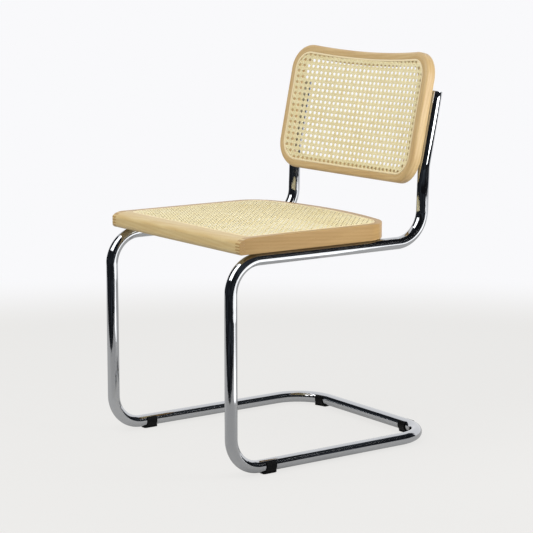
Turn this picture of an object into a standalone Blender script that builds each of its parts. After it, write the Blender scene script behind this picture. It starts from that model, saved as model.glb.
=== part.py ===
"""Cantilever side chair: one bent steel tube, a cane seat and a cane back in beech frames.

Metres, +Z up. The chair faces -Y and the sitter's left is +X. The floor is z = 0, under the
glides, and the origin is the middle of the chair's footprint.
"""

from math import atan, cos, pi, radians, sin, sqrt

import bmesh
import bpy
from mathutils import Matrix, Vector

# Tube frame
TUBE_RADIUS = 0.0125
TUBE_WALL = 0.002
FRAME_WIDTH = 0.441          # between the axes of the left and the right side
BASE_LENGTH = 0.510          # from the axis of the front legs to the axis of the rear crossbar
SEAT_TUBE_HEIGHT = 0.427     # axis of the two seat rails above the floor
POST_SETBACK = 0.471         # from the leg's axis back to the post's axis, at the seat rail
POST_LEAN = 0.029            # run over rise of the post below its kink
KINK_HEIGHT = 0.5786
BACK_LEAN = 0.206            # run over rise of the post above its kink, and of the back
POST_RISE = 0.1525           # from the kink to the post's open end, along the post
SIDE_BEND = 0.065            # radius at the tube's axis, above and below the front legs
REAR_BEND = 0.065
KINK_BEND = 0.075
CORNER_BEND = 0.085          # rear corners of the floor loop
BEND_STEP = radians(15)      # turn of the axis between two rings of the mesh
TUBE_SIDES = 12

# Glides
FOOT_THICKNESS = 0.0035      # under the tube
FOOT_LENGTH = 0.034
FOOT_WIDTH = 0.018
FOOT_ROUNDING = 0.006        # of its corners in plan
GLIDE_LENGTH = 0.024
GLIDE_BAND = 0.0022
GLIDE_WRAP = radians(126)    # how far the band climbs round the tube on each side of the foot
GLIDE_STEPS = 14
FOOT_STEPS = 6
FRONT_GLIDE_SPACE = 0.0225   # from the end of the front bend to the glide's middle
REAR_LEFT_INSET = 0.0865     # along the tube, from the side's axis in to the glide's middle
REAR_RIGHT_INSET = 0.0625

# Caps in the open ends of the posts
CAP_THICKNESS = 0.0012
CAP_PLUG_DEPTH = 0.010
CAP_STEPS = 16

# Seat frame, measured back from the legs' axis
SEAT_OVERHANG = 0.0142       # from the axis of each seat rail out to the seat's side
SEAT_FRONT = 0.0105
SEAT_REAR_SPACE = 0.0535     # from the middle of the seat's rear edge back to the posts' axis
SEAT_THICKNESS = 0.032
SEAT_REAR_BOW = 0.039        # how far the rear edge falls back to the front at the sides
SEAT_REAR_CORNER = 0.060
SEAT_EDGE = 0.0015           # eased outer edges
SEAT_FRONT_LAND = 0.0295     # bare wood in front of the cane
NOSE_RUN = 0.028             # the front board's top rolls down over this depth
NOSE_DROP = 0.0125
NOSE_TUCK = 0.0072           # the bottom edge lies this far behind the nose
NOSE_TUCK_RISE = 0.010
NOSE_STEPS = 7
OPENING_CORNER = 0.010       # radius of the front corners of the opening under the cane

# Finger joints between the front board and the bent rail
FINGER_LAYERS = 11
FINGER_REACH = 0.014
FINGER_DEPTH = 0.014
BOARD_SHOULDER = 0.004       # the board runs this far behind the frame's opening

# Groove, spline and cane
LAND = 0.018                 # bare wood outside the seat's groove
GROOVE_WIDTH = 0.0045
GROOVE_DEPTH = 0.006
LEDGE = 0.008                # wood under the rim of the seat's cane
SPLINE_PROUD = 0.0005
CANE_THICKNESS = 0.0016
CANE_PITCH = 0.0284          # two meshes of the real cane make one gap of this net
CANE_GAP = 0.0150
CANE_RIM = 0.0125            # plain rim of the net, from its edge to its first gap

# Back frame, in the leaning plane of the posts, measured up from the kink
BACK_OVERHANG = 0.0098       # from the axis of each post out to the back's side
BACK_DROP = 0.0418           # from the kink down to the lower edge
BACK_TOP = 0.2223            # at the middle
BACK_CROWN = 0.0102          # the top edge rises by this much from its middle to each side
BACK_HOLLOW = 0.019          # depth of the back's hollow between the posts, seen from above
BACK_THICKNESS = 0.0268
BACK_CORNER = 0.057
BACK_EDGE = 0.008            # rounding of the outer edges
BACK_LAND = 0.015
BACK_LEDGE = 0.0095          # wood behind the rim of the cane, above and below it
BACK_SIDE_LEDGE = 0.016      # the same at its sides
BACK_LIP = 0.008             # the wood's thickness at the opening, with the depth of the cane
BACK_FLAT = 0.013            # from the outer edge in to where the rear face starts to slope
BACK_BULGE = 0.004           # by which the sloping rear face is rounded
ARC_STEPS = 6
EDGE_STEPS = 3
SPAN_STEPS = 12

# Screws
SCREW_HEAD_RADIUS = 0.0042
SCREW_HEAD_HEIGHT = 0.0024
SCREW_RADIUS = 0.0021
SCREW_BITE = 0.019           # length of thread in the wood
SCREW_TIP = 0.006
SCREW_DOME = 0.0009
SCREW_STEPS = 10
FRONT_SCREW_SPACE = 0.135    # behind the legs' axis
REAR_SCREW_SPACE = 0.151     # in front of the posts' axis
LOWER_SCREW_SPACE = 0.030    # above the kink
UPPER_SCREW_SPACE = 0.032    # below the post's end

# Fits
GAP = 0.0003                 # between pieces that touch on the real chair

HALF_WIDTH = FRAME_WIDTH / 2
BAND_INNER = (TUBE_RADIUS + GAP) / cos(GLIDE_WRAP / GLIDE_STEPS)
BAND_OUTER = BAND_INNER + GLIDE_BAND
LEG_Y = (TUBE_RADIUS - BASE_LENGTH - BAND_OUTER) / 2
CROSSBAR_Y = LEG_Y + BASE_LENGTH
FLOOR_TUBE_HEIGHT = FOOT_THICKNESS + TUBE_RADIUS
SEAT_WIDTH = FRAME_WIDTH + 2 * SEAT_OVERHANG
SEAT_DEPTH = POST_SETBACK - SEAT_REAR_SPACE - SEAT_FRONT
SEAT_BOTTOM = SEAT_TUBE_HEIGHT + TUBE_RADIUS + GAP
SEAT_TOP = SEAT_BOTTOM + SEAT_THICKNESS
POST_Y = LEG_Y + POST_SETBACK
KINK = Vector((0.0, POST_Y + POST_LEAN * (KINK_HEIGHT - SEAT_TUBE_HEIGHT), KINK_HEIGHT))
BACK_WIDTH = FRAME_WIDTH + 2 * BACK_OVERHANG
PLAN_RADIUS = (HALF_WIDTH ** 2 + BACK_HOLLOW ** 2) / (2 * BACK_HOLLOW)
LEAN_ANGLE = atan(BACK_LEAN)
BACK_UP = Vector((0.0, sin(LEAN_ANGLE), cos(LEAN_ANGLE)))
BACK_OUT = Vector((0.0, -cos(LEAN_ANGLE), sin(LEAN_ANGLE)))
GROOVE_INNER = LAND + GROOVE_WIDTH
OPENING_INSET = GROOVE_INNER + LEDGE
BACK_GROOVE_INNER = BACK_LAND + GROOVE_WIDTH
BACK_OPENING = BACK_GROOVE_INNER + BACK_LEDGE
BACK_SIDE_MORE = BACK_SIDE_LEDGE - BACK_LEDGE
LEDGE_DEPTH = CANE_THICKNESS + GAP
SCREW_LENGTH = 2 * TUBE_RADIUS + SCREW_BITE

MATERIALS = {
    "chromed_steel": ((0.78, 0.79, 0.80), 0.08, 1.0),
    "zinc_plated_steel": ((0.62, 0.62, 0.60), 0.30, 1.0),
    "black_plastic": ((0.015, 0.015, 0.016), 0.45, 0.0),
    "seat_beech": ((0.48, 0.31, 0.15), 0.45, 0.0),
    "front_beech": ((0.58, 0.41, 0.21), 0.45, 0.0),
    "back_beech": ((0.55, 0.37, 0.18), 0.45, 0.0),
    "cane": ((0.74, 0.65, 0.38), 0.55, 0.0),
    "reed": ((0.86, 0.73, 0.45), 0.50, 0.0),
}


def clear_scene():
    """Remove whatever the new file came with."""
    for obj in list(bpy.data.objects):
        bpy.data.objects.remove(obj)


def material(name):
    """Return the named finish, made once."""
    found = bpy.data.materials.get(name)
    if found:
        return found
    colour, roughness, metallic = MATERIALS[name]
    made = bpy.data.materials.new(name)
    made.use_nodes = True
    shader = made.node_tree.nodes["Principled BSDF"]
    shader.inputs["Base Color"].default_value = (*colour, 1.0)
    shader.inputs["Roughness"].default_value = roughness
    shader.inputs["Metallic"].default_value = metallic
    made.diffuse_color = (*colour, 1.0)
    return made


def finish_object(name, bm, finish, smooth_angle=30):
    """Turn a closed bmesh into a named object with outward faces."""
    bmesh.ops.recalc_face_normals(bm, faces=bm.faces)
    mesh = bpy.data.meshes.new(name)
    bm.to_mesh(mesh)
    bm.free()
    obj = bpy.data.objects.new(name, mesh)
    bpy.context.scene.collection.objects.link(obj)
    if finish:
        mesh.materials.append(material(finish))
        mesh.shade_smooth()
        mesh.set_sharp_from_angle(angle=radians(smooth_angle))
    return obj


def helper(name, bm):
    """A shape that only cuts or joins, which isn't part of the chair."""
    obj = finish_object(name, bm, None)
    obj.hide_render = True
    obj.display_type = 'WIRE'
    return obj


def combine(obj, other, operation):
    """Cut from an object, or join to it, the shape of another."""
    modifier = obj.modifiers.new(other.name, 'BOOLEAN')
    modifier.operation = operation
    modifier.solver = 'EXACT'
    modifier.object = other


# Mesh builders


def ring_mesh(rings):
    """Skin a closed train of closed rings, which all have as many points."""
    bm = bmesh.new()
    verts = [[bm.verts.new(point) for point in ring] for ring in rings]
    count = len(verts[0])
    for i, ring in enumerate(verts):
        after = verts[(i + 1) % len(verts)]
        for k in range(count):
            n = (k + 1) % count
            bm.faces.new((ring[k], ring[n], after[n], after[k]))
    return bm


def extruded(outline, direction):
    """A prism: a flat closed outline carried along a vector."""
    bm = bmesh.new()
    face = bm.faces.new([bm.verts.new(point) for point in outline])
    moved = bmesh.ops.extrude_face_region(bm, geom=[face])
    tops = [item for item in moved["geom"] if isinstance(item, bmesh.types.BMVert)]
    bmesh.ops.translate(bm, verts=tops, vec=direction)
    return bm


def turned(profile, steps):
    """Spin a profile of (radius, height) points, which ends on the axis, about Z."""
    bm = bmesh.new()
    verts = [bm.verts.new((radius, 0.0, height)) for radius, height in profile]
    edges = [bm.edges.new(pair) for pair in zip(verts[:-1], verts[1:])]
    bmesh.ops.spin(bm, geom=verts + edges, cent=(0, 0, 0), axis=(0, 0, 1), angle=2 * pi,
                   steps=steps, use_merge=True)
    bmesh.ops.remove_doubles(bm, verts=bm.verts, dist=1e-6)
    return bm


def box(bm, low, high):
    """Add a box between two corners to a bmesh."""
    size = Vector(high) - Vector(low)
    middle = (Vector(high) + Vector(low)) / 2
    matrix = Matrix.Translation(middle) @ Matrix.Diagonal((*size, 1.0))
    bmesh.ops.create_cube(bm, size=1.0, matrix=matrix)


def arc(centre, radius, start, end, steps):
    """Points of an arc in a plane, from one angle in degrees to another."""
    turns = [radians(start + (end - start) * i / steps) for i in range(steps + 1)]
    return [(centre[0] + radius * cos(a), centre[1] + radius * sin(a)) for a in turns]


def aligned(direction, position):
    """Matrix that stands a shape turned about Z along a direction."""
    spin = Vector(direction).to_track_quat('Z', 'Y').to_matrix().to_4x4()
    return Matrix.Translation(position) @ spin


# Tube frame


def fillet(before, corner, after, radius):
    """Points along the round of one bend of the tube."""
    to_before = (before - corner).normalized()
    to_after = (after - corner).normalized()
    turn = pi - to_before.angle(to_after)
    reach = radius * sin(turn / 2) / cos(turn / 2)
    centre = corner + (to_before + to_after).normalized() * (radius / cos(turn / 2))
    start = corner + to_before * reach - centre
    end = corner + to_after * reach - centre
    axis = start.cross(end)
    steps = max(2, round(turn / BEND_STEP))
    return [centre + Matrix.Rotation(turn * i / steps, 3, axis) @ start for i in range(steps + 1)]


def side_corners(side):
    """Corners and bend radii of one side, from the post's top to the floor loop's rear corner."""
    x = side * HALF_WIDTH
    kink = Vector((x, KINK.y, KINK.z))
    corners = [
        kink + BACK_UP * POST_RISE,
        kink,
        Vector((x, POST_Y, SEAT_TUBE_HEIGHT)),
        Vector((x, LEG_Y, SEAT_TUBE_HEIGHT)),
        Vector((x, LEG_Y, FLOOR_TUBE_HEIGHT)),
        Vector((x, CROSSBAR_Y, FLOOR_TUBE_HEIGHT)),
    ]
    radii = [KINK_BEND, REAR_BEND, SIDE_BEND, SIDE_BEND, CORNER_BEND]
    return corners, radii


def tube_axis():
    """The tube's whole axis, from the top of one post to the top of the other."""
    left, radii = side_corners(1)
    right, _ = side_corners(-1)
    corners = left + right[::-1]
    radii = radii + radii[::-1]
    path = [corners[0]]
    for i, radius in enumerate(radii, start=1):
        path += fillet(corners[i - 1], corners[i], corners[i + 1], radius)
    return path + [corners[-1]]


def swept(path, section, aside):
    """Rings of a section of (across, along) points, carried along a path without twist."""
    rings = []
    for i, point in enumerate(path):
        before = path[max(i - 1, 0)]
        after = path[min(i + 1, len(path) - 1)]
        into = (point - before).normalized() if i else (after - point).normalized()
        out = (after - point).normalized() if i < len(path) - 1 else into
        tangent = (into + out).normalized()
        aside = (aside - tangent * aside.dot(tangent)).normalized()
        across = tangent.cross(aside)
        rings.append([point + aside * u + across * v for u, v in section])
    return rings


def circle(radius):
    """Corners of the tube's many-sided section."""
    turns = [2 * pi * k / TUBE_SIDES for k in range(TUBE_SIDES)]
    return [(radius * cos(a), radius * sin(a)) for a in turns]


def build_frame_tube():
    """The one bent tube, hollow and open at the tops of its posts."""
    path = tube_axis()
    outer = swept(path, circle(TUBE_RADIUS), Vector((1, 0, 0)))
    inner = swept(path, circle(TUBE_RADIUS - TUBE_WALL), Vector((1, 0, 0)))
    return finish_object("frame_tube", ring_mesh(outer + inner[::-1]), "chromed_steel", 40)


def build_cap(name, side):
    """A plug with a thin flange that closes the top of a post."""
    flange = TUBE_RADIUS - GAP
    plug = (TUBE_RADIUS - TUBE_WALL) * cos(pi / TUBE_SIDES) - GAP
    profile = [(0, CAP_THICKNESS), (flange - GAP, CAP_THICKNESS), (flange, CAP_THICKNESS / 2),
               (flange, 0), (plug, 0), (plug, -CAP_PLUG_DEPTH), (0, -CAP_PLUG_DEPTH)]
    cap = finish_object(name, turned(profile, CAP_STEPS), "chromed_steel")
    top = side_corners(side)[0][0]
    cap.matrix_world = aligned(BACK_UP, top + BACK_UP * GAP)
    return cap


# Glides


def band_section():
    """Section of the band that clips round the tube, as (up, across) from the tube's axis."""
    turns = [GLIDE_WRAP * (2 * i / GLIDE_STEPS - 1) for i in range(GLIDE_STEPS + 1)]
    inside = [(-BAND_INNER * cos(a), BAND_INNER * sin(a)) for a in turns]
    outside = [(-BAND_OUTER * cos(a), BAND_OUTER * sin(a)) for a in turns[::-1]]
    return inside + outside


def foot_section(width):
    """Section of the foot: flat below, and hollowed above to sit under the tube."""
    hollow = TUBE_RADIUS + 2 * GAP
    half = width / 2
    spots = [half * (1 - 2 * i / FOOT_STEPS) for i in range(FOOT_STEPS + 1)]
    top = [(-sqrt(hollow * hollow - spot * spot), spot) for spot in spots]
    return [(-FLOOR_TUBE_HEIGHT, -half), (-FLOOR_TUBE_HEIGHT, half)] + top


def capped_sweep(path, sections):
    """A closed body along a path, with a section for each of its points."""
    rings = []
    for i, section in enumerate(sections):
        rings.append(swept(path, section, Vector((0, 0, 1)))[i])
    bm = bmesh.new()
    verts = [[bm.verts.new(point) for point in ring] for ring in rings]
    count = len(verts[0])
    for ring, after in zip(verts[:-1], verts[1:]):
        for k in range(count):
            n = (k + 1) % count
            bm.faces.new((ring[k], ring[n], after[n], after[k]))
    bm.faces.new(verts[0][::-1])
    bm.faces.new(verts[-1])
    return bm


def stretch(path, middle, length, more=()):
    """Part of a path about a distance from its own middle, with any further stops wanted."""
    marks = [0.0]
    for start, end in zip(path[:-1], path[1:]):
        marks.append(marks[-1] + (end - start).length)
    marks = [mark - marks[-1] / 2 for mark in marks]
    low, high = middle - length / 2, middle + length / 2
    stops = sorted([low, high, *more] + [mark for mark in marks if low < mark < high])
    points = []
    for stop in stops:
        i = max(k for k, mark in enumerate(marks[:-1]) if mark <= stop)
        share = (stop - marks[i]) / (marks[i + 1] - marks[i])
        points.append(path[i].lerp(path[i + 1], share))
    return points, stops


def build_glide(name, path, middle):
    """One clip-on glide along a stretch of the tube: a band and its longer flat foot."""
    points, stops = stretch(path, middle, GLIDE_LENGTH)
    section = band_section()
    glide = finish_object(name, capped_sweep(points, [section] * len(points)), "black_plastic")

    straight = FOOT_LENGTH / 2 - FOOT_ROUNDING
    points, stops = stretch(path, middle, FOOT_LENGTH, (middle - straight, middle + straight))
    sections = []
    for stop in stops:
        into_corner = max(0.0, abs(stop - middle) - straight)
        sections.append(foot_section(FOOT_WIDTH - into_corner))
    combine(glide, helper(name + "_foot", capped_sweep(points, sections)), 'UNION')


def build_glides():
    """Two glides under the side runners and two under the rear crossbar."""
    front_y = LEG_Y + SIDE_BEND + FRONT_GLIDE_SPACE
    for name, side in (("glide_front_left", 1), ("glide_front_right", -1)):
        middle = Vector((side * HALF_WIDTH, front_y, FLOOR_TUBE_HEIGHT))
        ahead = Vector((0, FOOT_LENGTH, 0))
        build_glide(name, [middle - ahead, middle + ahead], 0.0)
    rear = [point for point in tube_axis() if point.y > 0 and point.z < SIDE_BEND]
    build_glide("glide_rear_left", rear[::-1], HALF_WIDTH - REAR_LEFT_INSET)
    build_glide("glide_rear_right", rear[::-1], REAR_RIGHT_INSET - HALF_WIDTH)


# Outlines in plan of the seat and of the back


def rounded_rectangle(half_width, low, high, low_radius, high_radius):
    """Points round a rectangle with round corners, anticlockwise from the low right corner."""
    right, left = half_width, -half_width
    lows = (low_radius, low + low_radius)
    highs = (high_radius, high - high_radius)
    points = arc((right - lows[0], lows[1]), low_radius, 270, 360, ARC_STEPS)
    points += arc((right - highs[0], highs[1]), high_radius, 0, 90, ARC_STEPS)
    points += span(points[-1], (left + highs[0], high))
    points += arc((left + highs[0], highs[1]), high_radius, 90, 180, ARC_STEPS)
    points += arc((left + lows[0], lows[1]), low_radius, 180, 270, ARC_STEPS)
    return points + span(points[-1], (right - lows[0], low))


def span(start, end):
    """Even points strictly between two ends."""
    steps = [i / SPAN_STEPS for i in range(1, SPAN_STEPS)]
    return [(start[0] + (end[0] - start[0]) * s, start[1] + (end[1] - start[1]) * s) for s in steps]


def seat_outline(inset, front_inset):
    """The seat frame's outline in plan, brought in by an inset."""
    low = SEAT_FRONT + front_inset
    high = SEAT_FRONT + SEAT_DEPTH - inset
    front_radius = OPENING_CORNER + OPENING_INSET - inset if inset >= LAND else SEAT_EDGE
    points = rounded_rectangle(SEAT_WIDTH / 2 - inset, low, high, front_radius,
                               SEAT_REAR_CORNER - inset)
    return [(x, y - bow(x, y)) for x, y in points]


def bow(x, y):
    """How far the bowed rear edge draws a point of the seat's plan forward."""
    depth = (y - SEAT_FRONT) / SEAT_DEPTH
    return SEAT_REAR_BOW * (2 * x / SEAT_WIDTH) ** 2 * max(2 * depth - 1, 0.0)


def seat_point(x, y, depth):
    """A point of the seat: across, back from the legs' axis, and down from the top."""
    return Vector((x, LEG_Y + y, SEAT_TOP - depth))


def back_outline(inset, side_more=0.0):
    """The back frame's outline in its leaning plane, brought in by an inset, more at the sides."""
    radius = BACK_CORNER - inset
    points = rounded_rectangle(BACK_WIDTH / 2 - inset - side_more, inset - BACK_DROP,
                               BACK_TOP - inset, radius, radius)
    return [(x, rise + crown(x, rise)) for x, rise in points]


def crown(x, rise):
    """How far the curved top edge lifts a point of the back's outline."""
    height = (rise + BACK_DROP) / (BACK_TOP + BACK_DROP)
    return BACK_CROWN * (2 * x / BACK_WIDTH) ** 2 * height


def sag(x):
    """Depth of the back's hollow, seen from above, between its middle and a place at one side."""
    return PLAN_RADIUS - sqrt(PLAN_RADIUS ** 2 - x * x)


def back_point(x, rise, depth):
    """A point of the back: across, up its plane from the kink, and behind its front face."""
    at_post = TUBE_RADIUS + 2 * GAP + BACK_THICKNESS
    ahead = at_post - sag(HALF_WIDTH) + sag(x) - depth
    return KINK + Vector((x, 0, 0)) + BACK_UP * rise + BACK_OUT * ahead


def groove_section(land):
    """Part of a frame member's section, as (inset, depth): its groove and the start of its ledge."""
    inner = land + GROOVE_WIDTH
    return [(land, 0.0), (land, GROOVE_DEPTH), (inner, GROOVE_DEPTH), (inner, LEDGE_DEPTH)]


def outer_section(thickness, edge):
    """The rest of it, as (inset, depth), round the outer edges from the rear to the front."""
    section = arc((edge, thickness - edge), edge, 90, 180, EDGE_STEPS)
    return section + arc((edge, edge), edge, 180, 270, EDGE_STEPS)


# Seat frame


def seat_front_inset(inset):
    """Inset at the front, where the bare wood is wider than at the sides."""
    return inset + SEAT_FRONT_LAND - LAND if inset >= LAND else inset


def seat_ring(name, finish):
    """The whole seat frame, before it is parted into the front board and the bent rail."""
    loops = []
    section = groove_section(LAND)
    section += [(OPENING_INSET, LEDGE_DEPTH), (OPENING_INSET, SEAT_THICKNESS - SEAT_EDGE),
                (OPENING_INSET - SEAT_EDGE, SEAT_THICKNESS)]
    for inset, depth in section + outer_section(SEAT_THICKNESS, SEAT_EDGE):
        front_inset = seat_front_inset(inset)
        loops.append([seat_point(x, y, depth) for x, y in seat_outline(inset, front_inset)])
    ring = finish_object(name, ring_mesh(loops), finish)
    combine(ring, nose_cutter(name), 'DIFFERENCE')
    return ring


def nose_cutter(name):
    """Everything ahead of the front board's rolled nose."""
    profile = [(SEAT_FRONT + NOSE_RUN * (1 - sin(a)), NOSE_DROP * (1 - cos(a)))
               for a in [pi / 2 * i / NOSE_STEPS for i in range(NOSE_STEPS + 1)]]
    bottom = SEAT_THICKNESS
    tucks = [pi / 2 * i / EDGE_STEPS for i in range(EDGE_STEPS + 1)]
    profile += [(SEAT_FRONT + NOSE_TUCK * (1 - cos(a)), bottom + GAP - NOSE_TUCK_RISE * (1 - sin(a)))
                for a in tucks]
    clear = SEAT_FRONT - SEAT_THICKNESS
    profile += [(clear, bottom + GAP), (clear, -GAP), (SEAT_FRONT + NOSE_RUN, -GAP)]
    aside = -SEAT_WIDTH
    outline = [seat_point(aside, y, depth) for y, depth in profile]
    return helper(name + "_nose", extruded(outline, (2 * SEAT_WIDTH, 0, 0)))


def finger_layers():
    """Depth ranges of the layers that belong to the bent rail."""
    height = SEAT_THICKNESS / FINGER_LAYERS
    return [(height * i, height * (i + 1)) for i in range(1, FINGER_LAYERS, 2)]


def joint_plane():
    """Where the front board ends behind the frame's opening, from the legs' axis."""
    return SEAT_FRONT + seat_front_inset(OPENING_INSET) + BOARD_SHOULDER


def span_box(bm, x_range, y_range, depth_range):
    """Add a box given by ranges across, back from the legs' axis and down from the seat's top."""
    low = seat_point(x_range[0], y_range[0], depth_range[1])
    high = seat_point(x_range[1], y_range[1], depth_range[0])
    box(bm, low, high)


def build_front_board():
    """The front member: the ring, less all that lies behind it and less the rail's fingers."""
    board = seat_ring("seat_front_board", "front_beech")
    edge = SEAT_WIDTH / 2 - FINGER_REACH
    far = SEAT_WIDTH + SEAT_DEPTH
    lap = SEAT_FRONT + FINGER_DEPTH
    all_depths = (-SEAT_THICKNESS, 2 * SEAT_THICKNESS)

    behind = bmesh.new()
    span_box(behind, (-far, far), (joint_plane(), far), all_depths)
    combine(board, helper("board_rear_cut", behind), 'DIFFERENCE')

    sides = bmesh.new()
    for x_range in ((edge, far), (-far, -edge)):
        span_box(sides, x_range, (lap, far), all_depths)
    combine(board, helper("board_side_cut", sides), 'DIFFERENCE')

    slots = bmesh.new()
    for x_range in ((edge, far), (-far, -edge)):
        for depth_range in finger_layers():
            span_box(slots, x_range, (-far, lap + BOARD_SHOULDER), depth_range)
    combine(board, helper("board_slots", slots), 'DIFFERENCE')
    return board


def build_bent_rail():
    """The sides and the round back of the seat frame, bent from one piece, with its fingers."""
    rail = seat_ring("seat_bent_rail", "seat_beech")
    reach = SEAT_WIDTH / 2 - FINGER_REACH + GAP
    far = SEAT_WIDTH + SEAT_DEPTH
    lap = SEAT_FRONT + FINGER_DEPTH + GAP

    middle = bmesh.new()
    span_box(middle, (-reach, reach), (-far, joint_plane() + GAP),
             (-SEAT_THICKNESS, 2 * SEAT_THICKNESS))
    combine(rail, helper("rail_middle_cut", middle), 'DIFFERENCE')

    between = bmesh.new()
    bounds = [-SEAT_THICKNESS]
    for low, high in finger_layers():
        bounds += [low + GAP, high - GAP]
    bounds.append(2 * SEAT_THICKNESS)
    for x_range in ((reach - GAP, far), (-far, GAP - reach)):
        for depth_range in zip(bounds[0::2], bounds[1::2]):
            span_box(between, x_range, (-far, lap), depth_range)
    combine(rail, helper("rail_finger_cut", between), 'DIFFERENCE')
    return rail


# Back frame, splines and cane


def rear_slope():
    """The rounded slope from the lip at the back's opening out to its full thickness.

    Each point is an inset, a depth, and by how much more it is brought in at the sides.
    """
    run, rise = BACK_OPENING - BACK_FLAT, BACK_THICKNESS - BACK_LIP
    slope = []
    for i in range(EDGE_STEPS + 1):
        share = i / EDGE_STEPS
        swell = 4 * BACK_BULGE * share * (1 - share) / sqrt(run * run + rise * rise)
        inset = BACK_OPENING - run * share + rise * swell
        slope.append((inset, BACK_LIP + rise * share + run * swell, BACK_SIDE_MORE * (1 - share)))
    return slope


def build_back_frame():
    """The bent frame of the back."""
    section = [(inset, depth, 0.0) for inset, depth in groove_section(BACK_LAND)]
    section += [(BACK_OPENING, LEDGE_DEPTH, BACK_SIDE_MORE)] + rear_slope()
    section += [(inset, depth, 0.0) for inset, depth in outer_section(BACK_THICKNESS, BACK_EDGE)]
    loops = [[back_point(x, rise, depth) for x, rise in back_outline(inset, side_more)]
             for inset, depth, side_more in section]
    return finish_object("back_frame", ring_mesh(loops), "back_beech", 40)


def build_spline(name, land, outline, point):
    """The reed that fills a groove: outline(inset) and point(across, along, depth) place it."""
    outer = land + GAP
    inner = land + GROOVE_WIDTH - GAP
    bottom = GROOVE_DEPTH - GAP
    section = [(outer, 0.0), (outer + SPLINE_PROUD, -SPLINE_PROUD),
               (inner - SPLINE_PROUD, -SPLINE_PROUD), (inner, 0.0), (inner, bottom), (outer, bottom)]
    loops = [[point(x, y, depth) for x, y in outline(inset)] for inset, depth in section]
    return finish_object(name, ring_mesh(loops), "reed")


def crossing(outline, axis, value, side):
    """Where an outline crosses a grid line: the outermost crossing towards one side."""
    other = 1 - axis
    found = []
    for start, end in zip(outline, outline[1:] + outline[:1]):
        if (start[axis] - value) * (end[axis] - value) <= 0 and start[axis] != end[axis]:
            share = (value - start[axis]) / (end[axis] - start[axis])
            found.append(start[other] + (end[other] - start[other]) * share)
    return max(found) if side > 0 else min(found)


def gap_lines(low, high):
    """Edges of the net's gaps between two ends of the cane."""
    usable = high - low - 2 * CANE_RIM - CANE_GAP
    count = int(usable / CANE_PITCH) + 1
    pitch = usable / (count - 1)
    first = low + CANE_RIM
    lines = []
    for i in range(count):
        lines += [first + pitch * i, first + pitch * i + CANE_GAP]
    return lines


def net_grid(outline):
    """Grid of the net's corners in its plane, with the outermost ones on the outline."""
    xs = [x for x, _ in outline]
    across = gap_lines(min(xs), max(xs))
    middle_low = crossing(outline, 0, 0.0, -1)
    side_high = min(crossing(outline, 0, across[0], 1), crossing(outline, 0, 0.0, 1))
    along = gap_lines(middle_low, side_high)
    grid = []
    for i in range(-1, len(across) + 1):
        column = []
        for j in range(-1, len(along) + 1):
            column.append(grid_corner(outline, across, along, i, j))
        grid.append(column)
    return grid


def grid_corner(outline, across, along, i, j):
    """One corner of the net: inside it, on an edge of the outline, or on its round corner."""
    x_end = i in (-1, len(across))
    y_end = j in (-1, len(along))
    x_side = 1 if i > 0 else -1
    y_side = 1 if j > 0 else -1
    if x_end and y_end:
        return max(outline, key=lambda p: x_side * p[0] + y_side * p[1])
    if x_end:
        return crossing(outline, 1, along[j], x_side), along[j]
    if y_end:
        return across[i], crossing(outline, 0, across[i], y_side)
    return across[i], along[j]


def build_net(name, outline, point):
    """A woven panel as a net: a thin sheet with a square gap in every odd cell of its grid."""
    grid = net_grid(outline)
    bm = bmesh.new()
    layers = []
    for depth in (0.0, CANE_THICKNESS):
        layers.append([[bm.verts.new(point(x, y, depth)) for x, y in column] for column in grid])
    top, bottom = layers
    columns, rows = len(grid), len(grid[0])

    def corners(i, j):
        return [(i, j), (i + 1, j), (i + 1, j + 1), (i, j + 1)]

    for i in range(columns - 1):
        for j in range(rows - 1):
            ring = corners(i, j)
            if i % 2 and j % 2:
                for (a, b), (c, d) in zip(ring, ring[1:] + ring[:1]):
                    bm.faces.new((top[a][b], top[c][d], bottom[c][d], bottom[a][b]))
            else:
                bm.faces.new([top[a][b] for a, b in ring])
                bm.faces.new([bottom[a][b] for a, b in reversed(ring)])
    rim = [(i, 0) for i in range(columns)]
    rim += [(columns - 1, j) for j in range(1, rows)]
    rim += [(i, rows - 1) for i in range(columns - 2, -1, -1)]
    rim += [(0, j) for j in range(rows - 2, 0, -1)]
    for (a, b), (c, d) in zip(rim, rim[1:] + rim[:1]):
        bm.faces.new((top[a][b], bottom[a][b], bottom[c][d], top[c][d]))
    return finish_object(name, bm, "cane")


# Screws


def screw_profile():
    """Half section of an oval-head wood screw, as (radius, height) from its tip down."""
    return [(0, SCREW_LENGTH), (SCREW_RADIUS, SCREW_LENGTH - SCREW_TIP),
            (SCREW_RADIUS, SCREW_HEAD_HEIGHT), (SCREW_HEAD_RADIUS, 0),
            (SCREW_HEAD_RADIUS / 2, -SCREW_DOME), (0, -SCREW_DOME)]


def screw_hole_profile():
    """Half section of the hole for a screw, countersunk and open below the head."""
    shank = SCREW_RADIUS + GAP
    head = SCREW_HEAD_RADIUS + GAP
    tip = SCREW_LENGTH + GAP
    return [(0, tip), (shank, tip - SCREW_TIP), (shank, SCREW_HEAD_HEIGHT + GAP),
            (head, GAP), (head, -SCREW_HEAD_HEIGHT), (0, -SCREW_HEAD_HEIGHT)]


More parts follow.
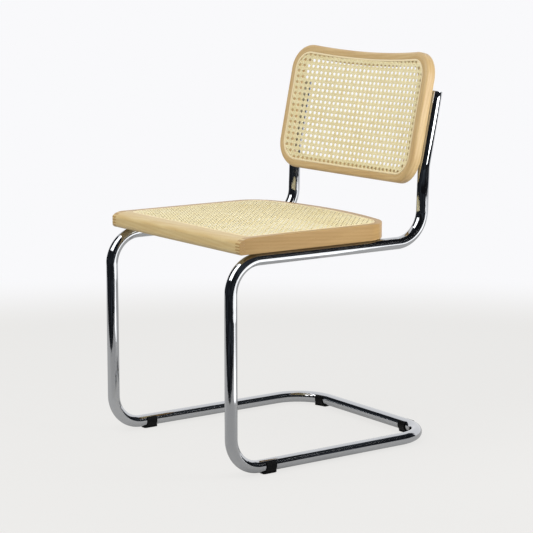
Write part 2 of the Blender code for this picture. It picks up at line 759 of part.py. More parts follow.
def screw_places():
    """Names, positions and directions of the eight screws, with the wood that each one holds."""
    seat_ys = {"front": LEG_Y + FRONT_SCREW_SPACE, "rear": POST_Y - REAR_SCREW_SPACE}
    rises = {"lower": LOWER_SCREW_SPACE, "upper": POST_RISE - UPPER_SCREW_SPACE}
    places = []
    for label, side in (("left", 1), ("right", -1)):
        for where, y in seat_ys.items():
            position = Vector((side * HALF_WIDTH, y, SEAT_TUBE_HEIGHT - TUBE_RADIUS))
            places.append((f"seat_screw_{where}_{label}", position, Vector((0, 0, 1)), "seat"))
        for where, rise in rises.items():
            position = KINK + BACK_UP * rise - BACK_OUT * TUBE_RADIUS
            position.x = side * HALF_WIDTH
            places.append((f"back_screw_{where}_{label}", position, BACK_OUT, "back"))
    return places


def build_screws(tube, seat_rail, back_frame):
    """Eight screws, each in its own hole through the tube and into the wood."""
    wood = {"seat": seat_rail, "back": back_frame}
    sunk = SCREW_HEAD_RADIUS ** 2 / (2 * TUBE_RADIUS)
    for name, position, direction, holds in screw_places():
        place = aligned(direction, position + direction * sunk)
        screw = finish_object(name, turned(screw_profile(), SCREW_STEPS), "zinc_plated_steel")
        cutter = helper(name + "_hole", turned(screw_hole_profile(), SCREW_STEPS))
        for obj in (screw, cutter):
            obj.matrix_world = place
        combine(tube, cutter, 'DIFFERENCE')
        combine(wood[holds], cutter, 'DIFFERENCE')


def build_chair():
    """Every piece of the chair."""
    tube = build_frame_tube()
    build_glides()
    build_cap("post_cap_left", 1)
    build_cap("post_cap_right", -1)
    build_front_board()
    seat_rail = build_bent_rail()
    back_frame = build_back_frame()
    build_screws(tube, seat_rail, back_frame)

    def seat_loop(inset):
        return seat_outline(inset, seat_front_inset(inset))

    build_spline("seat_spline", LAND, seat_loop, seat_point)
    build_spline("back_spline", BACK_LAND, back_outline, back_point)
    build_net("seat_cane", seat_loop(GROOVE_INNER + GAP), seat_point)
    build_net("back_cane", back_outline(BACK_GROOVE_INNER + GAP), back_point)


clear_scene()
build_chair()
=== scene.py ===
"""Photoreal looks for a cantilever side chair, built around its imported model.

Metres, +Z up. The chair faces -Y, the sitter's left is +X and the floor is z = 0. Every piece is
a plain mesh at the origin, with its place in its points, and rides on the one body.
"""

import logging
from collections.abc import Callable
from dataclasses import dataclass, field
from enum import Enum
from math import atan, cos, hypot, pi, radians, sin, sqrt

import bmesh
import bpy
import numpy as np
from mathutils import Matrix, Vector


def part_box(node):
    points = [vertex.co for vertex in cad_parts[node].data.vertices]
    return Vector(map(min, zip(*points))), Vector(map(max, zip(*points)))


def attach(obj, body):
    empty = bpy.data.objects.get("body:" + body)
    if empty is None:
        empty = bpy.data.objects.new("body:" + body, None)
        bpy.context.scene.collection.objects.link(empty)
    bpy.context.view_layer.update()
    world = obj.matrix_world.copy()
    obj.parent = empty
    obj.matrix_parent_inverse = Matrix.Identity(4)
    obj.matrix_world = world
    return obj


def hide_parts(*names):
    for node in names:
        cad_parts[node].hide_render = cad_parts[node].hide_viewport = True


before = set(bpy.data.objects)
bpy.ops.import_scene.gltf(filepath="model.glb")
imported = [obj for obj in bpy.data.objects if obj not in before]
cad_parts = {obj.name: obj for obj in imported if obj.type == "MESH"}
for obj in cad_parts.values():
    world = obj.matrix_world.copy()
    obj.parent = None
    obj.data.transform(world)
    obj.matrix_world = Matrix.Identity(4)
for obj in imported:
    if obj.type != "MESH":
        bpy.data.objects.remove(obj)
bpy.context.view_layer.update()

log = logging.getLogger("side_chair")

Point2 = tuple[float, float]
Point3 = tuple[float, float, float]
Span = tuple[float, float]         # where a range starts and ends
Ring = list[Vector]

BODY = "root"
UP = Vector((0, 0, 1))


# Small helpers


def linear(code: str) -> tuple[float, float, float, float]:
    """Turn an sRGB hex colour into linear RGBA.

    Args:
        code: Six hex digits after a hash.
    Returns:
        Red, green, blue and full alpha, linear.
    """
    parts = [int(code[i:i + 2], 16) / 255 for i in (1, 3, 5)]
    curve = [p / 12.92 if p <= 0.04045 else ((p + 0.055) / 1.055) ** 2.4 for p in parts]
    return (*curve, 1.0)


def per_metre(size_mm: float) -> float:
    """Scale of a pattern whose features have this size in millimetres."""
    return 1000 / size_mm


def feed(tree: bpy.types.NodeTree, node: bpy.types.Node, inputs: dict) -> None:
    """Link or set a node's sockets.

    Args:
        tree: The node's tree.
        node: The node.
        inputs: What feeds each socket, by name or index: another socket, or a plain value.
    """
    for key, value in inputs.items():
        if isinstance(value, bpy.types.NodeSocket):
            tree.links.new(value, node.inputs[key])
        else:
            node.inputs[key].default_value = value


def add(tree: bpy.types.NodeTree, kind: str, settings: dict | None = None,
        inputs: dict | None = None) -> bpy.types.Node:
    """Add a node with its settings and its links.

    Args:
        tree: The tree that gets the node.
        kind: The node's type name.
        settings: Properties of the node, by name.
        inputs: What feeds each socket, as feed takes it.
    Returns:
        The new node.
    """
    node = tree.nodes.new(kind)
    for name, value in (settings or {}).items():
        setattr(node, name, value)
    feed(tree, node, inputs or {})
    return node


def mesh_from(name: str, bm: bmesh.types.BMesh, finish: bpy.types.Material,
              angle: float = 35.0) -> bpy.types.Object:
    """Make a named object from a bmesh, with outward faces and smooth shading.

    Args:
        name: Name of the new piece.
        bm: Its geometry, which is used up.
        finish: Its material.
        angle: Degrees past which an edge stays sharp.
    Returns:
        The new object, in the scene.
    """
    bmesh.ops.recalc_face_normals(bm, faces=bm.faces)
    mesh = bpy.data.meshes.new(name)
    bm.to_mesh(mesh)
    bm.free()
    mesh.materials.append(finish)
    mesh.shade_smooth()
    mesh.set_sharp_from_angle(angle=radians(angle))
    obj = bpy.data.objects.new(name, mesh)
    bpy.context.scene.collection.objects.link(obj)
    return obj


def apply_modifiers(obj: bpy.types.Object) -> None:
    """Turn what an object's modifiers give into its own plain mesh, and drop the modifiers.

    Args:
        obj: The object.
    """
    bpy.context.view_layer.update()
    graph = bpy.context.evaluated_depsgraph_get()
    mesh = bpy.data.meshes.new_from_object(obj.evaluated_get(graph),
                                           preserve_all_data_layers=True, depsgraph=graph)
    obj.modifiers.clear()
    old = obj.data
    obj.data = mesh
    mesh.name = obj.name
    if not old.users:
        bpy.data.meshes.remove(old)


def run_tree(obj: bpy.types.Object, tree: bpy.types.NodeTree, inputs: dict) -> None:
    """Run a geometry tree on an object and keep the result as its plain mesh.

    Args:
        obj: The object whose mesh the tree starts from.
        tree: The tree.
        inputs: Values of the tree's named inputs.
    """
    modifier = obj.modifiers.new(tree.name, 'NODES')
    modifier.node_group = tree
    for item in tree.interface.items_tree:
        if item.in_out == 'INPUT' and item.name in inputs:
            modifier[item.identifier] = inputs[item.name]
    apply_modifiers(obj)


def cut(obj: bpy.types.Object, shape: bmesh.types.BMesh) -> None:
    """Cut a closed shape out of a piece, and keep the result as its plain mesh.

    Args:
        obj: The piece.
        shape: The shape, which is used up.
    """
    bmesh.ops.recalc_face_normals(shape, faces=shape.faces)
    mesh = bpy.data.meshes.new("cutter")
    shape.to_mesh(mesh)
    shape.free()
    cutter = bpy.data.objects.new("cutter", mesh)
    bpy.context.scene.collection.objects.link(cutter)
    modifier = obj.modifiers.new("cut", 'BOOLEAN')
    modifier.operation = 'DIFFERENCE'
    modifier.solver = 'EXACT'
    modifier.object = cutter
    apply_modifiers(obj)
    bpy.data.objects.remove(cutter)
    bpy.data.meshes.remove(mesh)


def skin(bm: bmesh.types.BMesh, rings: list[Ring], closed: bool) -> None:
    """Add the skin of a train of rings, with end faces unless the train is closed.

    Args:
        bm: The mesh that gets the faces.
        rings: The rings, each of equally many points.
        closed: Whether the last ring joins the first.
    """
    verts = [[bm.verts.new(point) for point in ring] for ring in rings]
    count = len(verts[0])
    pairs = list(zip(verts[:-1], verts[1:])) + ([(verts[-1], verts[0])] if closed else [])
    for ring, after in pairs:
        for k in range(count):
            n = (k + 1) % count
            bm.faces.new((ring[k], ring[n], after[n], after[k]))
    if not closed:
        bm.faces.new(verts[0][::-1])
        bm.faces.new(verts[-1])


def swept(path: list[Vector], section: list[Point2], aside: Vector) -> list[Ring]:
    """Carry a section down a path without twist.

    Args:
        path: Points of the path.
        section: Points of the section: how far to the side that is given, and how far past it.
        aside: That side, at the start of the path.
    Returns:
        One ring for each point of the path.
    """
    rings = []
    for i, point in enumerate(path):
        before, after = path[max(i - 1, 0)], path[min(i + 1, len(path) - 1)]
        into = (point - before).normalized() if i else (after - point).normalized()
        out = (after - point).normalized() if i < len(path) - 1 else into
        tangent = (into + out).normalized()
        aside = (aside - tangent * aside.dot(tangent)).normalized()
        across = tangent.cross(aside)
        rings.append([point + aside * u + across * v for u, v in section])
    return rings


def lathe(profile: list[Point2], steps: int) -> bmesh.types.BMesh:
    """Spin a half section about Z.

    Args:
        profile: Its points, as (radius, height), from the axis back to the axis.
        steps: Number of faces round it.
    Returns:
        The closed shape.
    """
    bm = bmesh.new()
    verts = [bm.verts.new((radius, 0.0, height)) for radius, height in profile]
    edges = [bm.edges.new(pair) for pair in zip(verts[:-1], verts[1:])]
    bmesh.ops.spin(bm, geom=verts + edges, cent=(0, 0, 0), axis=(0, 0, 1), angle=2 * pi,
                   steps=steps, use_merge=True)
    bmesh.ops.remove_doubles(bm, verts=bm.verts, dist=1e-6)
    return bm


def arc(centre: Point2, radius: float, start: float, end: float, steps: int) -> list[Point2]:
    """Points of a flat arc, both ends included, from one angle in degrees to another."""
    turns = [radians(start + (end - start) * i / steps) for i in range(steps + 1)]
    return [(centre[0] + radius * cos(a), centre[1] + radius * sin(a)) for a in turns]


def facing(direction: Vector, position: Vector) -> Matrix:
    """Matrix that stands a shape turned about Z along a direction."""
    return Matrix.Translation(position) @ direction.to_track_quat('Z', 'Y').to_matrix().to_4x4()


def add_box(bm: bmesh.types.BMesh, low: Vector, high: Vector) -> None:
    """Add a box between its lowest and its highest corner."""
    place = Matrix.Translation((low + high) / 2) @ Matrix.Diagonal((*(high - low), 1.0))
    bmesh.ops.create_cube(bm, size=1.0, matrix=place)


def finish_piece(obj: bpy.types.Object, slot: str, *nodes: str) -> None:
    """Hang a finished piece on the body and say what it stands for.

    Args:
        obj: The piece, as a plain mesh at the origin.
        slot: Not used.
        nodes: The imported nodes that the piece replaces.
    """
    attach(obj, BODY)
    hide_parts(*nodes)
    log.info("%s: %d faces, for %s", obj.name, len(obj.data.polygons), ", ".join(nodes))


def follow_grain(obj: bpy.types.Object, path: list[Vector], up: Vector, closed: bool) -> None:
    """Write where each corner lies in the wood: along the fibres, across them and in depth.

    Args:
        obj: A wooden piece.
        path: Points down the middle of the member, which the fibres follow.
        up: Direction of the member's thickness.
        closed: Whether the path comes back to its start.
    """
    mesh = obj.data
    points = np.array([tuple(p) for p in (path + [path[0]] if closed else path)])
    starts, steps = points[:-1], np.diff(points, axis=0)
    lengths = np.linalg.norm(steps, axis=1)
    tangents = steps / lengths[:, None]
    marks = np.concatenate(([0.0], np.cumsum(lengths)))
    co = np.zeros(len(mesh.vertices) * 3)
    mesh.vertices.foreach_get("co", co)
    co = co.reshape(-1, 3)
    best = np.full(len(co), np.inf)
    place = np.zeros((len(co), 3))
    axis = np.zeros((len(co), 3))
    rise = np.array(up)
    # Each point belongs to the nearest step of the path, seen along the member's thickness.
    for k in range(len(starts)):
        offset = co - starts[k]
        run = np.clip(offset @ tangents[k], 0.0 if k or closed else -1.0,
                      lengths[k] if k < len(starts) - 1 or closed else lengths[k] + 1.0)
        away = offset - run[:, None] * tangents[k]
        flat = away - (away @ rise)[:, None] * rise
        far = np.linalg.norm(flat, axis=1)
        side = np.cross(tangents[k], rise)
        nearer = far < best
        best[nearer] = far[nearer]
        place[nearer, 0] = marks[k] + run[nearer]
        place[nearer, 1] = (away @ side)[nearer]
        place[nearer, 2] = (away @ rise)[nearer]
        axis[nearer] = tangents[k]
    corner = np.zeros(len(mesh.loops), dtype=np.int32)
    mesh.loops.foreach_get("vertex_index", corner)
    grain = place[corner]
    if closed:
        # A face over the seam has corners at both ends of the path: it takes the far end's count.
        start = np.zeros(len(mesh.polygons), dtype=np.int32)
        total = np.zeros(len(mesh.polygons), dtype=np.int32)
        mesh.polygons.foreach_get("loop_start", start)
        mesh.polygons.foreach_get("loop_total", total)
        face = np.repeat(np.arange(len(start)), total)
        high = np.zeros(len(start))
        np.maximum.at(high, face, grain[:, 0])
        wrap = high[face] - grain[:, 0] > marks[-1] / 2
        grain[wrap, 0] += marks[-1]
    for name, values in (("grain", grain), ("fibre", axis[corner])):
        layer = mesh.attributes.new(name, 'FLOAT_VECTOR', 'CORNER')
        layer.data.foreach_set("vector", values.astype(np.float32).ravel())


# Finishes


@dataclass(frozen=True)
class Finish:
    """What every finish has: a name in a maker's words, and a Principled surface."""

    name: str

    def start(self) -> tuple[bpy.types.Material, bpy.types.NodeTree, bpy.types.Node]:
        """Make the material with its shader.

        Returns:
            The material, its tree and its shader.
        """
        made = bpy.data.materials.new(self.name)
        made.use_nodes = True
        return made, made.node_tree, made.node_tree.nodes["Principled BSDF"]


@dataclass(frozen=True)
class ChromePlate(Finish):
    """Bright chrome on drawn steel tube: a cold mirror, with the tube's faint waviness."""

    colour: str = "#C5C7CA"
    roughness: float = 0.045       # where it is wiped clean
    hazed: float = 1.9             # times that, where a cloth left a haze
    haze_mm: float = 9.0           # size of such a patch
    haze_span: Span = (0.35, 0.75)
    wave_mm: float = 38.0          # length of the drawn tube's slow waves
    wave_height: float = 0.0006
    wave_strength: float = 0.5

    def build(self) -> bpy.types.Material:
        """Return the material."""
        made, tree, shader = self.start()
        where = add(tree, "ShaderNodeTexCoord").outputs["Object"]
        haze = add(tree, "ShaderNodeTexNoise", None,
                   {"Vector": where, "Scale": per_metre(self.haze_mm), "Detail": 3.0})
        wiped = add(tree, "ShaderNodeMapRange", None,
                    {"Value": haze.outputs["Fac"], "From Min": self.haze_span[0],
                     "From Max": self.haze_span[1], "To Min": self.roughness,
                     "To Max": self.roughness * self.hazed})
        wave = add(tree, "ShaderNodeTexNoise", None,
                   {"Vector": where, "Scale": per_metre(self.wave_mm), "Detail": 1.0})
        bump = add(tree, "ShaderNodeBump", None,
                   {"Strength": self.wave_strength, "Distance": self.wave_height,
                    "Height": wave.outputs["Fac"]})
        feed(tree, shader, {"Base Color": linear(self.colour), "Metallic": 1.0,
                            "Roughness": wiped.outputs["Result"],
                            "Normal": bump.outputs["Normal"]})
        return made


@dataclass(frozen=True)
class ZincPlate(Finish):
    """Zinc on a cold-headed screw: a dull grey metal with a trace of yellow."""

    colour: str = "#A9A79C"
    roughness: float = 0.34
    spread: Span = (0.8, 1.3)      # of the roughness, from crystal to crystal
    crystal_mm: float = 0.5

    def build(self) -> bpy.types.Material:
        """Return the material."""
        made, tree, shader = self.start()
        where = add(tree, "ShaderNodeTexCoord").outputs["Object"]
        crystal = add(tree, "ShaderNodeTexNoise", None,
                      {"Vector": where, "Scale": per_metre(self.crystal_mm), "Detail": 2.0})
        rough = add(tree, "ShaderNodeMapRange", None,
                    {"Value": crystal.outputs["Fac"], "To Min": self.roughness * self.spread[0],
                     "To Max": self.roughness * self.spread[1]})
        feed(tree, shader, {"Base Color": linear(self.colour), "Metallic": 1.0,
                            "Roughness": rough.outputs["Result"]})
        return made


@dataclass(frozen=True)
class MouldedNylon(Finish):
    """Black nylon from a spark-eroded mould: near black, satin, with a fine even grain."""

    colour: str = "#0A0A0B"
    scuffed: str = "#111112"
    roughness: float = 0.5
    spread: Span = (0.85, 1.2)     # of the roughness, from clean to scuffed
    specular: float = 0.12
    texture_mm: float = 0.35
    texture_height: float = 0.0001
    texture_strength: float = 0.2
    scuff_mm: float = 6.25

    def build(self) -> bpy.types.Material:
        """Return the material."""
        made, tree, shader = self.start()
        where = add(tree, "ShaderNodeTexCoord").outputs["Object"]
        pits = add(tree, "ShaderNodeTexNoise", None,
                   {"Vector": where, "Scale": per_metre(self.texture_mm), "Detail": 2.0})
        scuff = add(tree, "ShaderNodeTexNoise", None,
                    {"Vector": where, "Scale": per_metre(self.scuff_mm), "Detail": 4.0})
        worn = add(tree, "ShaderNodeMix", {"data_type": 'RGBA'},
                   {0: scuff.outputs["Fac"], 6: linear(self.colour), 7: linear(self.scuffed)})
        rough = add(tree, "ShaderNodeMapRange", None,
                    {"Value": scuff.outputs["Fac"], "To Min": self.roughness * self.spread[0],
                     "To Max": self.roughness * self.spread[1]})
        bump = add(tree, "ShaderNodeBump", None,
                   {"Strength": self.texture_strength, "Distance": self.texture_height,
                    "Height": pits.outputs["Fac"]})
        feed(tree, shader, {"IOR": 1.53, "Specular IOR Level": self.specular,
                            "Base Color": worn.outputs[2], "Roughness": rough.outputs["Result"],
                            "Normal": bump.outputs["Normal"]})
        return made


@dataclass(frozen=True)
class LacqueredBeech(Finish):
    """Steamed beech under clear satin lacquer: even, with fine pores and short dark flecks.

    The flecks are the ends of the rays, about 2 mm long and drawn twice as wide as they are, so
    that they show at all. Cut across the fibres, the wood drinks the lacquer and turns darker.
    """

    light: str
    dark: str
    fleck: str = "#9A6B3F"
    end_grain: str = "#8E6A3C"
    ring_mm: float = 3.2           # between two growth rings on a rift face
    ring_run: float = 14.0         # rings' widths along which a ring keeps its line
    ring_share: float = 0.22       # of the rings in the tone, next to the streaks
    streak_mm: float = 90.0        # length of a change of tone along the fibres
    streak_width: float = 2.6      # growth rings that it takes in
    tone_span: Span = (0.32, 0.92)
    pore_mm: float = 0.25
    pore_run_mm: float = 9.0
    pore_span: Span = (0.3, 0.7)
    pore_tint: Span = (0.94, 1.04)
    pore_depth: float = 0.0001
    pore_strength: float = 0.15
    fleck_mm: float = 2.2
    fleck_cell: Span = (3.4, 0.9)  # flecks' lengths from one to the next, along and across
    fleck_edge: Span = (0.16, 0.10)
    fleck_strength: float = 0.55
    end_span: Span = (0.6, 0.95)   # cosine of the fibres to the face where the end tone sets in
    roughness: float = 0.40
    spread: Span = (0.9, 1.15)     # of the roughness, along the streaks
    specular: float = 0.38
    coat: float = 0.12
    coat_roughness: float = 0.28

    def build(self) -> bpy.types.Material:
        """Return the material."""
        made, tree, shader = self.start()
        grain = add(tree, "ShaderNodeAttribute", {"attribute_name": "grain"}).outputs["Vector"]
        sizes = ((self.streak_mm, self.streak_width * self.ring_mm),
                 (self.ring_run * self.ring_mm, self.ring_mm),
                 (self.pore_run_mm, self.pore_mm),
                 (self.fleck_cell[0] * self.fleck_mm, self.fleck_cell[1] * self.fleck_mm))
        streaky, ringed, porous, flecky = (
            add(tree, "ShaderNodeMapping", None,
                {"Vector": grain, "Scale": (per_metre(run), per_metre(width), per_metre(width))}
                ).outputs["Vector"] for run, width in sizes)
        streak = add(tree, "ShaderNodeTexNoise", None,
                     {"Vector": streaky, "Scale": 1.0, "Detail": 3.0, "Roughness": 0.55})
        rings = add(tree, "ShaderNodeTexWave", {"bands_direction": 'DIAGONAL'},
                    {"Vector": ringed, "Scale": 0.28, "Distortion": 2.2, "Detail": 2.0,
                     "Detail Scale": 0.6})
        pores = add(tree, "ShaderNodeTexNoise", None,
                    {"Vector": porous, "Scale": 1.0, "Detail": 2.0})
        cells = add(tree, "ShaderNodeTexVoronoi", None, {"Vector": flecky, "Scale": 1.0})
        tone = add(tree, "ShaderNodeMath", {"operation": 'MULTIPLY_ADD'},
                   {0: rings.outputs["Fac"], 1: self.ring_share, 2: streak.outputs["Fac"]})
        spread = add(tree, "ShaderNodeMapRange", None,
                     {"Value": tone.outputs[0], "From Min": self.tone_span[0],
                      "From Max": self.tone_span[1]})
        body = add(tree, "ShaderNodeMix", {"data_type": 'RGBA'},
                   {0: spread.outputs["Result"], 6: linear(self.light), 7: linear(self.dark)})
        fine = add(tree, "ShaderNodeMapRange", None,
                   {"Value": pores.outputs["Fac"], "From Min": self.pore_span[0],
                    "From Max": self.pore_span[1], "To Min": self.pore_tint[0],
                    "To Max": self.pore_tint[1]})
        fibrous = add(tree, "ShaderNodeMix", {"data_type": 'RGBA', "blend_type": 'MULTIPLY'},
                      {0: 1.0, 6: body.outputs[2], 7: fine.outputs["Result"]})
        spot = add(tree, "ShaderNodeMapRange", None,
                   {"Value": cells.outputs["Distance"], "From Min": self.fleck_edge[0],
                    "From Max": self.fleck_edge[1], "To Max": self.fleck_strength})
        flecked = add(tree, "ShaderNodeMix", {"data_type": 'RGBA'},
                      {0: spot.outputs["Result"], 6: fibrous.outputs[2], 7: linear(self.fleck)})
        fibre = add(tree, "ShaderNodeAttribute", {"attribute_name": "fibre"}).outputs["Vector"]
        outward = add(tree, "ShaderNodeNewGeometry").outputs["Normal"]
        across = add(tree, "ShaderNodeVectorMath", {"operation": 'DOT_PRODUCT'},
                     {0: fibre, 1: outward})
        squarely = add(tree, "ShaderNodeMath", {"operation": 'ABSOLUTE'},
                       {0: across.outputs["Value"]})
        cut_end = add(tree, "ShaderNodeMapRange", None,
                      {"Value": squarely.outputs[0], "From Min": self.end_span[0],
                       "From Max": self.end_span[1]})
        surface = add(tree, "ShaderNodeMix", {"data_type": 'RGBA'},
                      {0: cut_end.outputs["Result"], 6: flecked.outputs[2],
                       7: linear(self.end_grain)})
        rough = add(tree, "ShaderNodeMapRange", None,
                    {"Value": streak.outputs["Fac"], "To Min": self.roughness * self.spread[0],
                     "To Max": self.roughness * self.spread[1]})
        bump = add(tree, "ShaderNodeBump", None,
                   {"Strength": self.pore_strength, "Distance": self.pore_depth,
                    "Height": pores.outputs["Fac"]})
        feed(tree, shader, {"IOR": 1.5, "Specular IOR Level": self.specular,
                            "Coat Weight": self.coat, "Coat Roughness": self.coat_roughness,
                            "Base Color": surface.outputs[2],
                            "Roughness": rough.outputs["Result"],
                            "Normal": bump.outputs["Normal"]})
        return made


@dataclass(frozen=True)
class SplitCane(Finish):
    """Rattan skin, split and left bare: straw yellow with a hard natural gloss on its rind."""

    light: str = "#F4EAC2"
    dark: str = "#E9D9A4"
    knuckle: str = "#B08E4C"
    roughness: float = 0.42
    fibre_mm: float = 0.3
    fibre_height: float = 0.0001
    fibre_strength: float = 0.15
    knuckle_mm: float = 55.0       # patches where the stem's knuckles tint the skin
    knuckle_share: float = 0.8     # of them in the colour, next to each strand's own tone
    tone_span: Span = (0.3, 1.5)
    marks_per_metre: float = 210.0     # small brown marks, about 5 mm apart
    mark_edge: Span = (0.66, 0.78)
    mark_strength: float = 0.5

    def build(self) -> bpy.types.Material:
        """Return the material."""
        made, tree, shader = self.start()
        where = add(tree, "ShaderNodeTexCoord").outputs["Object"]
        tone = add(tree, "ShaderNodeAttribute", {"attribute_name": "tone"}).outputs["Fac"]
        patch = add(tree, "ShaderNodeTexNoise", None,
                    {"Vector": where, "Scale": per_metre(self.knuckle_mm), "Detail": 4.0})
        mixed = add(tree, "ShaderNodeMath", {"operation": 'MULTIPLY_ADD'},
                    {0: patch.outputs["Fac"], 1: self.knuckle_share, 2: tone})
        spread = add(tree, "ShaderNodeMapRange", None,
                     {"Value": mixed.outputs[0], "From Min": self.tone_span[0],
                      "From Max": self.tone_span[1]})
        body = add(tree, "ShaderNodeMix", {"data_type": 'RGBA'},
                   {0: spread.outputs["Result"], 6: linear(self.light), 7: linear(self.dark)})
        stain = add(tree, "ShaderNodeTexNoise", None,
                    {"Vector": where, "Scale": self.marks_per_metre})
        mark = add(tree, "ShaderNodeMapRange", None,
                   {"Value": stain.outputs["Fac"], "From Min": self.mark_edge[0],
                    "From Max": self.mark_edge[1], "To Max": self.mark_strength})
        surface = add(tree, "ShaderNodeMix", {"data_type": 'RGBA'},
                      {0: mark.outputs["Result"], 6: body.outputs[2], 7: linear(self.knuckle)})
        fibres = add(tree, "ShaderNodeTexNoise", None,
                     {"Vector": where, "Scale": per_metre(self.fibre_mm), "Detail": 1.0})
        bump = add(tree, "ShaderNodeBump", None,
                   {"Strength": self.fibre_strength, "Distance": self.fibre_height,
                    "Height": fibres.outputs["Fac"]})
        feed(tree, shader, {"IOR": 1.5, "Roughness": self.roughness,
                            "Base Color": surface.outputs[2], "Normal": bump.outputs["Normal"]})
        return made


@dataclass(frozen=True)
class PithReed(Finish):
    """Reed pith, hammered wet into its groove: pale cream, matt, with long open fibres."""

    light: str = "#F6E9C6"
    dark: str = "#E6D1A0"
    fibre_mm: float = 0.5
    fibre_run_mm: float = 25.0
    fibre_height: float = 0.0002
    fibre_strength: float = 0.3
    roughness: float = 0.5

    def build(self) -> bpy.types.Material:
        """Return the material."""
        made, tree, shader = self.start()
        grain = add(tree, "ShaderNodeAttribute", {"attribute_name": "grain"}).outputs["Vector"]
        fine = per_metre(self.fibre_mm)
        drawn = add(tree, "ShaderNodeMapping", None,
                    {"Vector": grain, "Scale": (per_metre(self.fibre_run_mm), fine, fine)})
        fibres = add(tree, "ShaderNodeTexNoise", None,
                     {"Vector": drawn.outputs["Vector"], "Scale": 1.0, "Detail": 2.0})
        body = add(tree, "ShaderNodeMix", {"data_type": 'RGBA'},
                   {0: fibres.outputs["Fac"], 6: linear(self.light), 7: linear(self.dark)})
        bump = add(tree, "ShaderNodeBump", None,
                   {"Strength": self.fibre_strength, "Distance": self.fibre_height,
                    "Height": fibres.outputs["Fac"]})
        feed(tree, shader, {"IOR": 1.48, "Roughness": self.roughness,
                            "Base Color": body.outputs[2], "Normal": bump.outputs["Normal"]})
        return made


@dataclass(frozen=True)
class StudioPaper(Finish):
    """Seamless studio paper: flat, pale and without gloss, paling further into the sweep, with
    painted shade where metal sees it by the drapes.
    """

    colour: str = "#ACABA9"
    lift: str = "#FCFBF9"          # what the paper shows by itself near the chair
    far_colour: str = "#F9F9FB"
    share: float = 0.76            # of that in what is seen, so that shadows stay faint
    in_metal: float = 0.05         # of the same in what bright metal picks up by the drapes, kept low there as painted shade
    past_chair: float = 0.38       # and beyond the chair, where that painted shade ends
    # the side towards which the paper, as bright metal sees it, darkens in painted shade
    painted_shade_side: Point3 = (0.81, -0.58, 0.0)
    painted_shade_span: Span = (0.0, 0.6)  # metres that way over which the painted shade falls off
    painted_shade_patch: float = 0.45      # metres by which the painted shade's edge wanders
    patches_per_metre: float = 7.0
    sweep_middle: Point3 = (1.0, -0.72, 0.0)
    sweep_span: Span = (2.45, 3.25)    # metres from there over which the paper pales
    roughness: float = 0.95

    def build(self) -> bpy.types.Material:
        """Return the material."""
        made, tree, shader = self.start()
        feed(tree, shader, {"Base Color": linear(self.colour), "Roughness": self.roughness,
                            "Specular IOR Level": 0.0})
        where = add(tree, "ShaderNodeTexCoord").outputs["Object"]
        far = add(tree, "ShaderNodeVectorMath", {"operation": 'DISTANCE'},
                  {0: where, 1: self.sweep_middle})
        pale = add(tree, "ShaderNodeMapRange", {"interpolation_type": 'SMOOTHSTEP'},
                   {"Value": far.outputs["Value"], "From Min": self.sweep_span[0],
                    "From Max": self.sweep_span[1]})
        mirrored = add(tree, "ShaderNodeLightPath").outputs["Is Glossy Ray"]
        # Painted shade: seen in gloss, the paper darkens towards the drapes' side, with a wandering
        # patchy edge
        side = add(tree, "ShaderNodeVectorMath", {"operation": 'DOT_PRODUCT'},
                   {0: where, 1: self.painted_shade_side})
        patch = add(tree, "ShaderNodeTexNoise", None,
                    {"Vector": where, "Scale": self.patches_per_metre, "Detail": 2.0,
                     "Roughness": 0.6})
        edge = add(tree, "ShaderNodeMath", {"operation": 'MULTIPLY_ADD'},
                   {0: patch.outputs[0], 1: self.painted_shade_patch, 2: side.outputs["Value"]})
        start, end = (place + self.painted_shade_patch / 2 for place in self.painted_shade_span)
        painted_shade_level = add(tree, "ShaderNodeMapRange", {"interpolation_type": 'SMOOTHSTEP'},
                     {"Value": edge.outputs[0], "From Min": start, "From Max": end,
                      "To Min": self.share * self.past_chair,
                      "To Max": self.share * self.in_metal})
        near = add(tree, "ShaderNodeMapRange", None,
                   {"Value": mirrored, "To Min": self.share, "To Max": painted_shade_level.outputs["Result"]})
        part = add(tree, "ShaderNodeMapRange", None,
                   {"Value": pale.outputs["Result"], "To Min": near.outputs["Result"]})
        seen = add(tree, "ShaderNodeMath", {"operation": 'MULTIPLY'},
                   {0: part.outputs["Result"], 1: seen_directly(tree)})
        tint = add(tree, "ShaderNodeMix", {"data_type": 'RGBA'},
                   {0: pale.outputs["Result"], 6: linear(self.lift), 7: linear(self.far_colour)})
        glow = add(tree, "ShaderNodeEmission", None, {"Color": tint.outputs[2]})
        sweep = add(tree, "ShaderNodeMixShader", None,
                    {0: seen.outputs[0], 1: shader.outputs[0], 2: glow.outputs[0]})
        feed(tree, tree.nodes["Material Output"], {"Surface": sweep.outputs[0]})
        return made


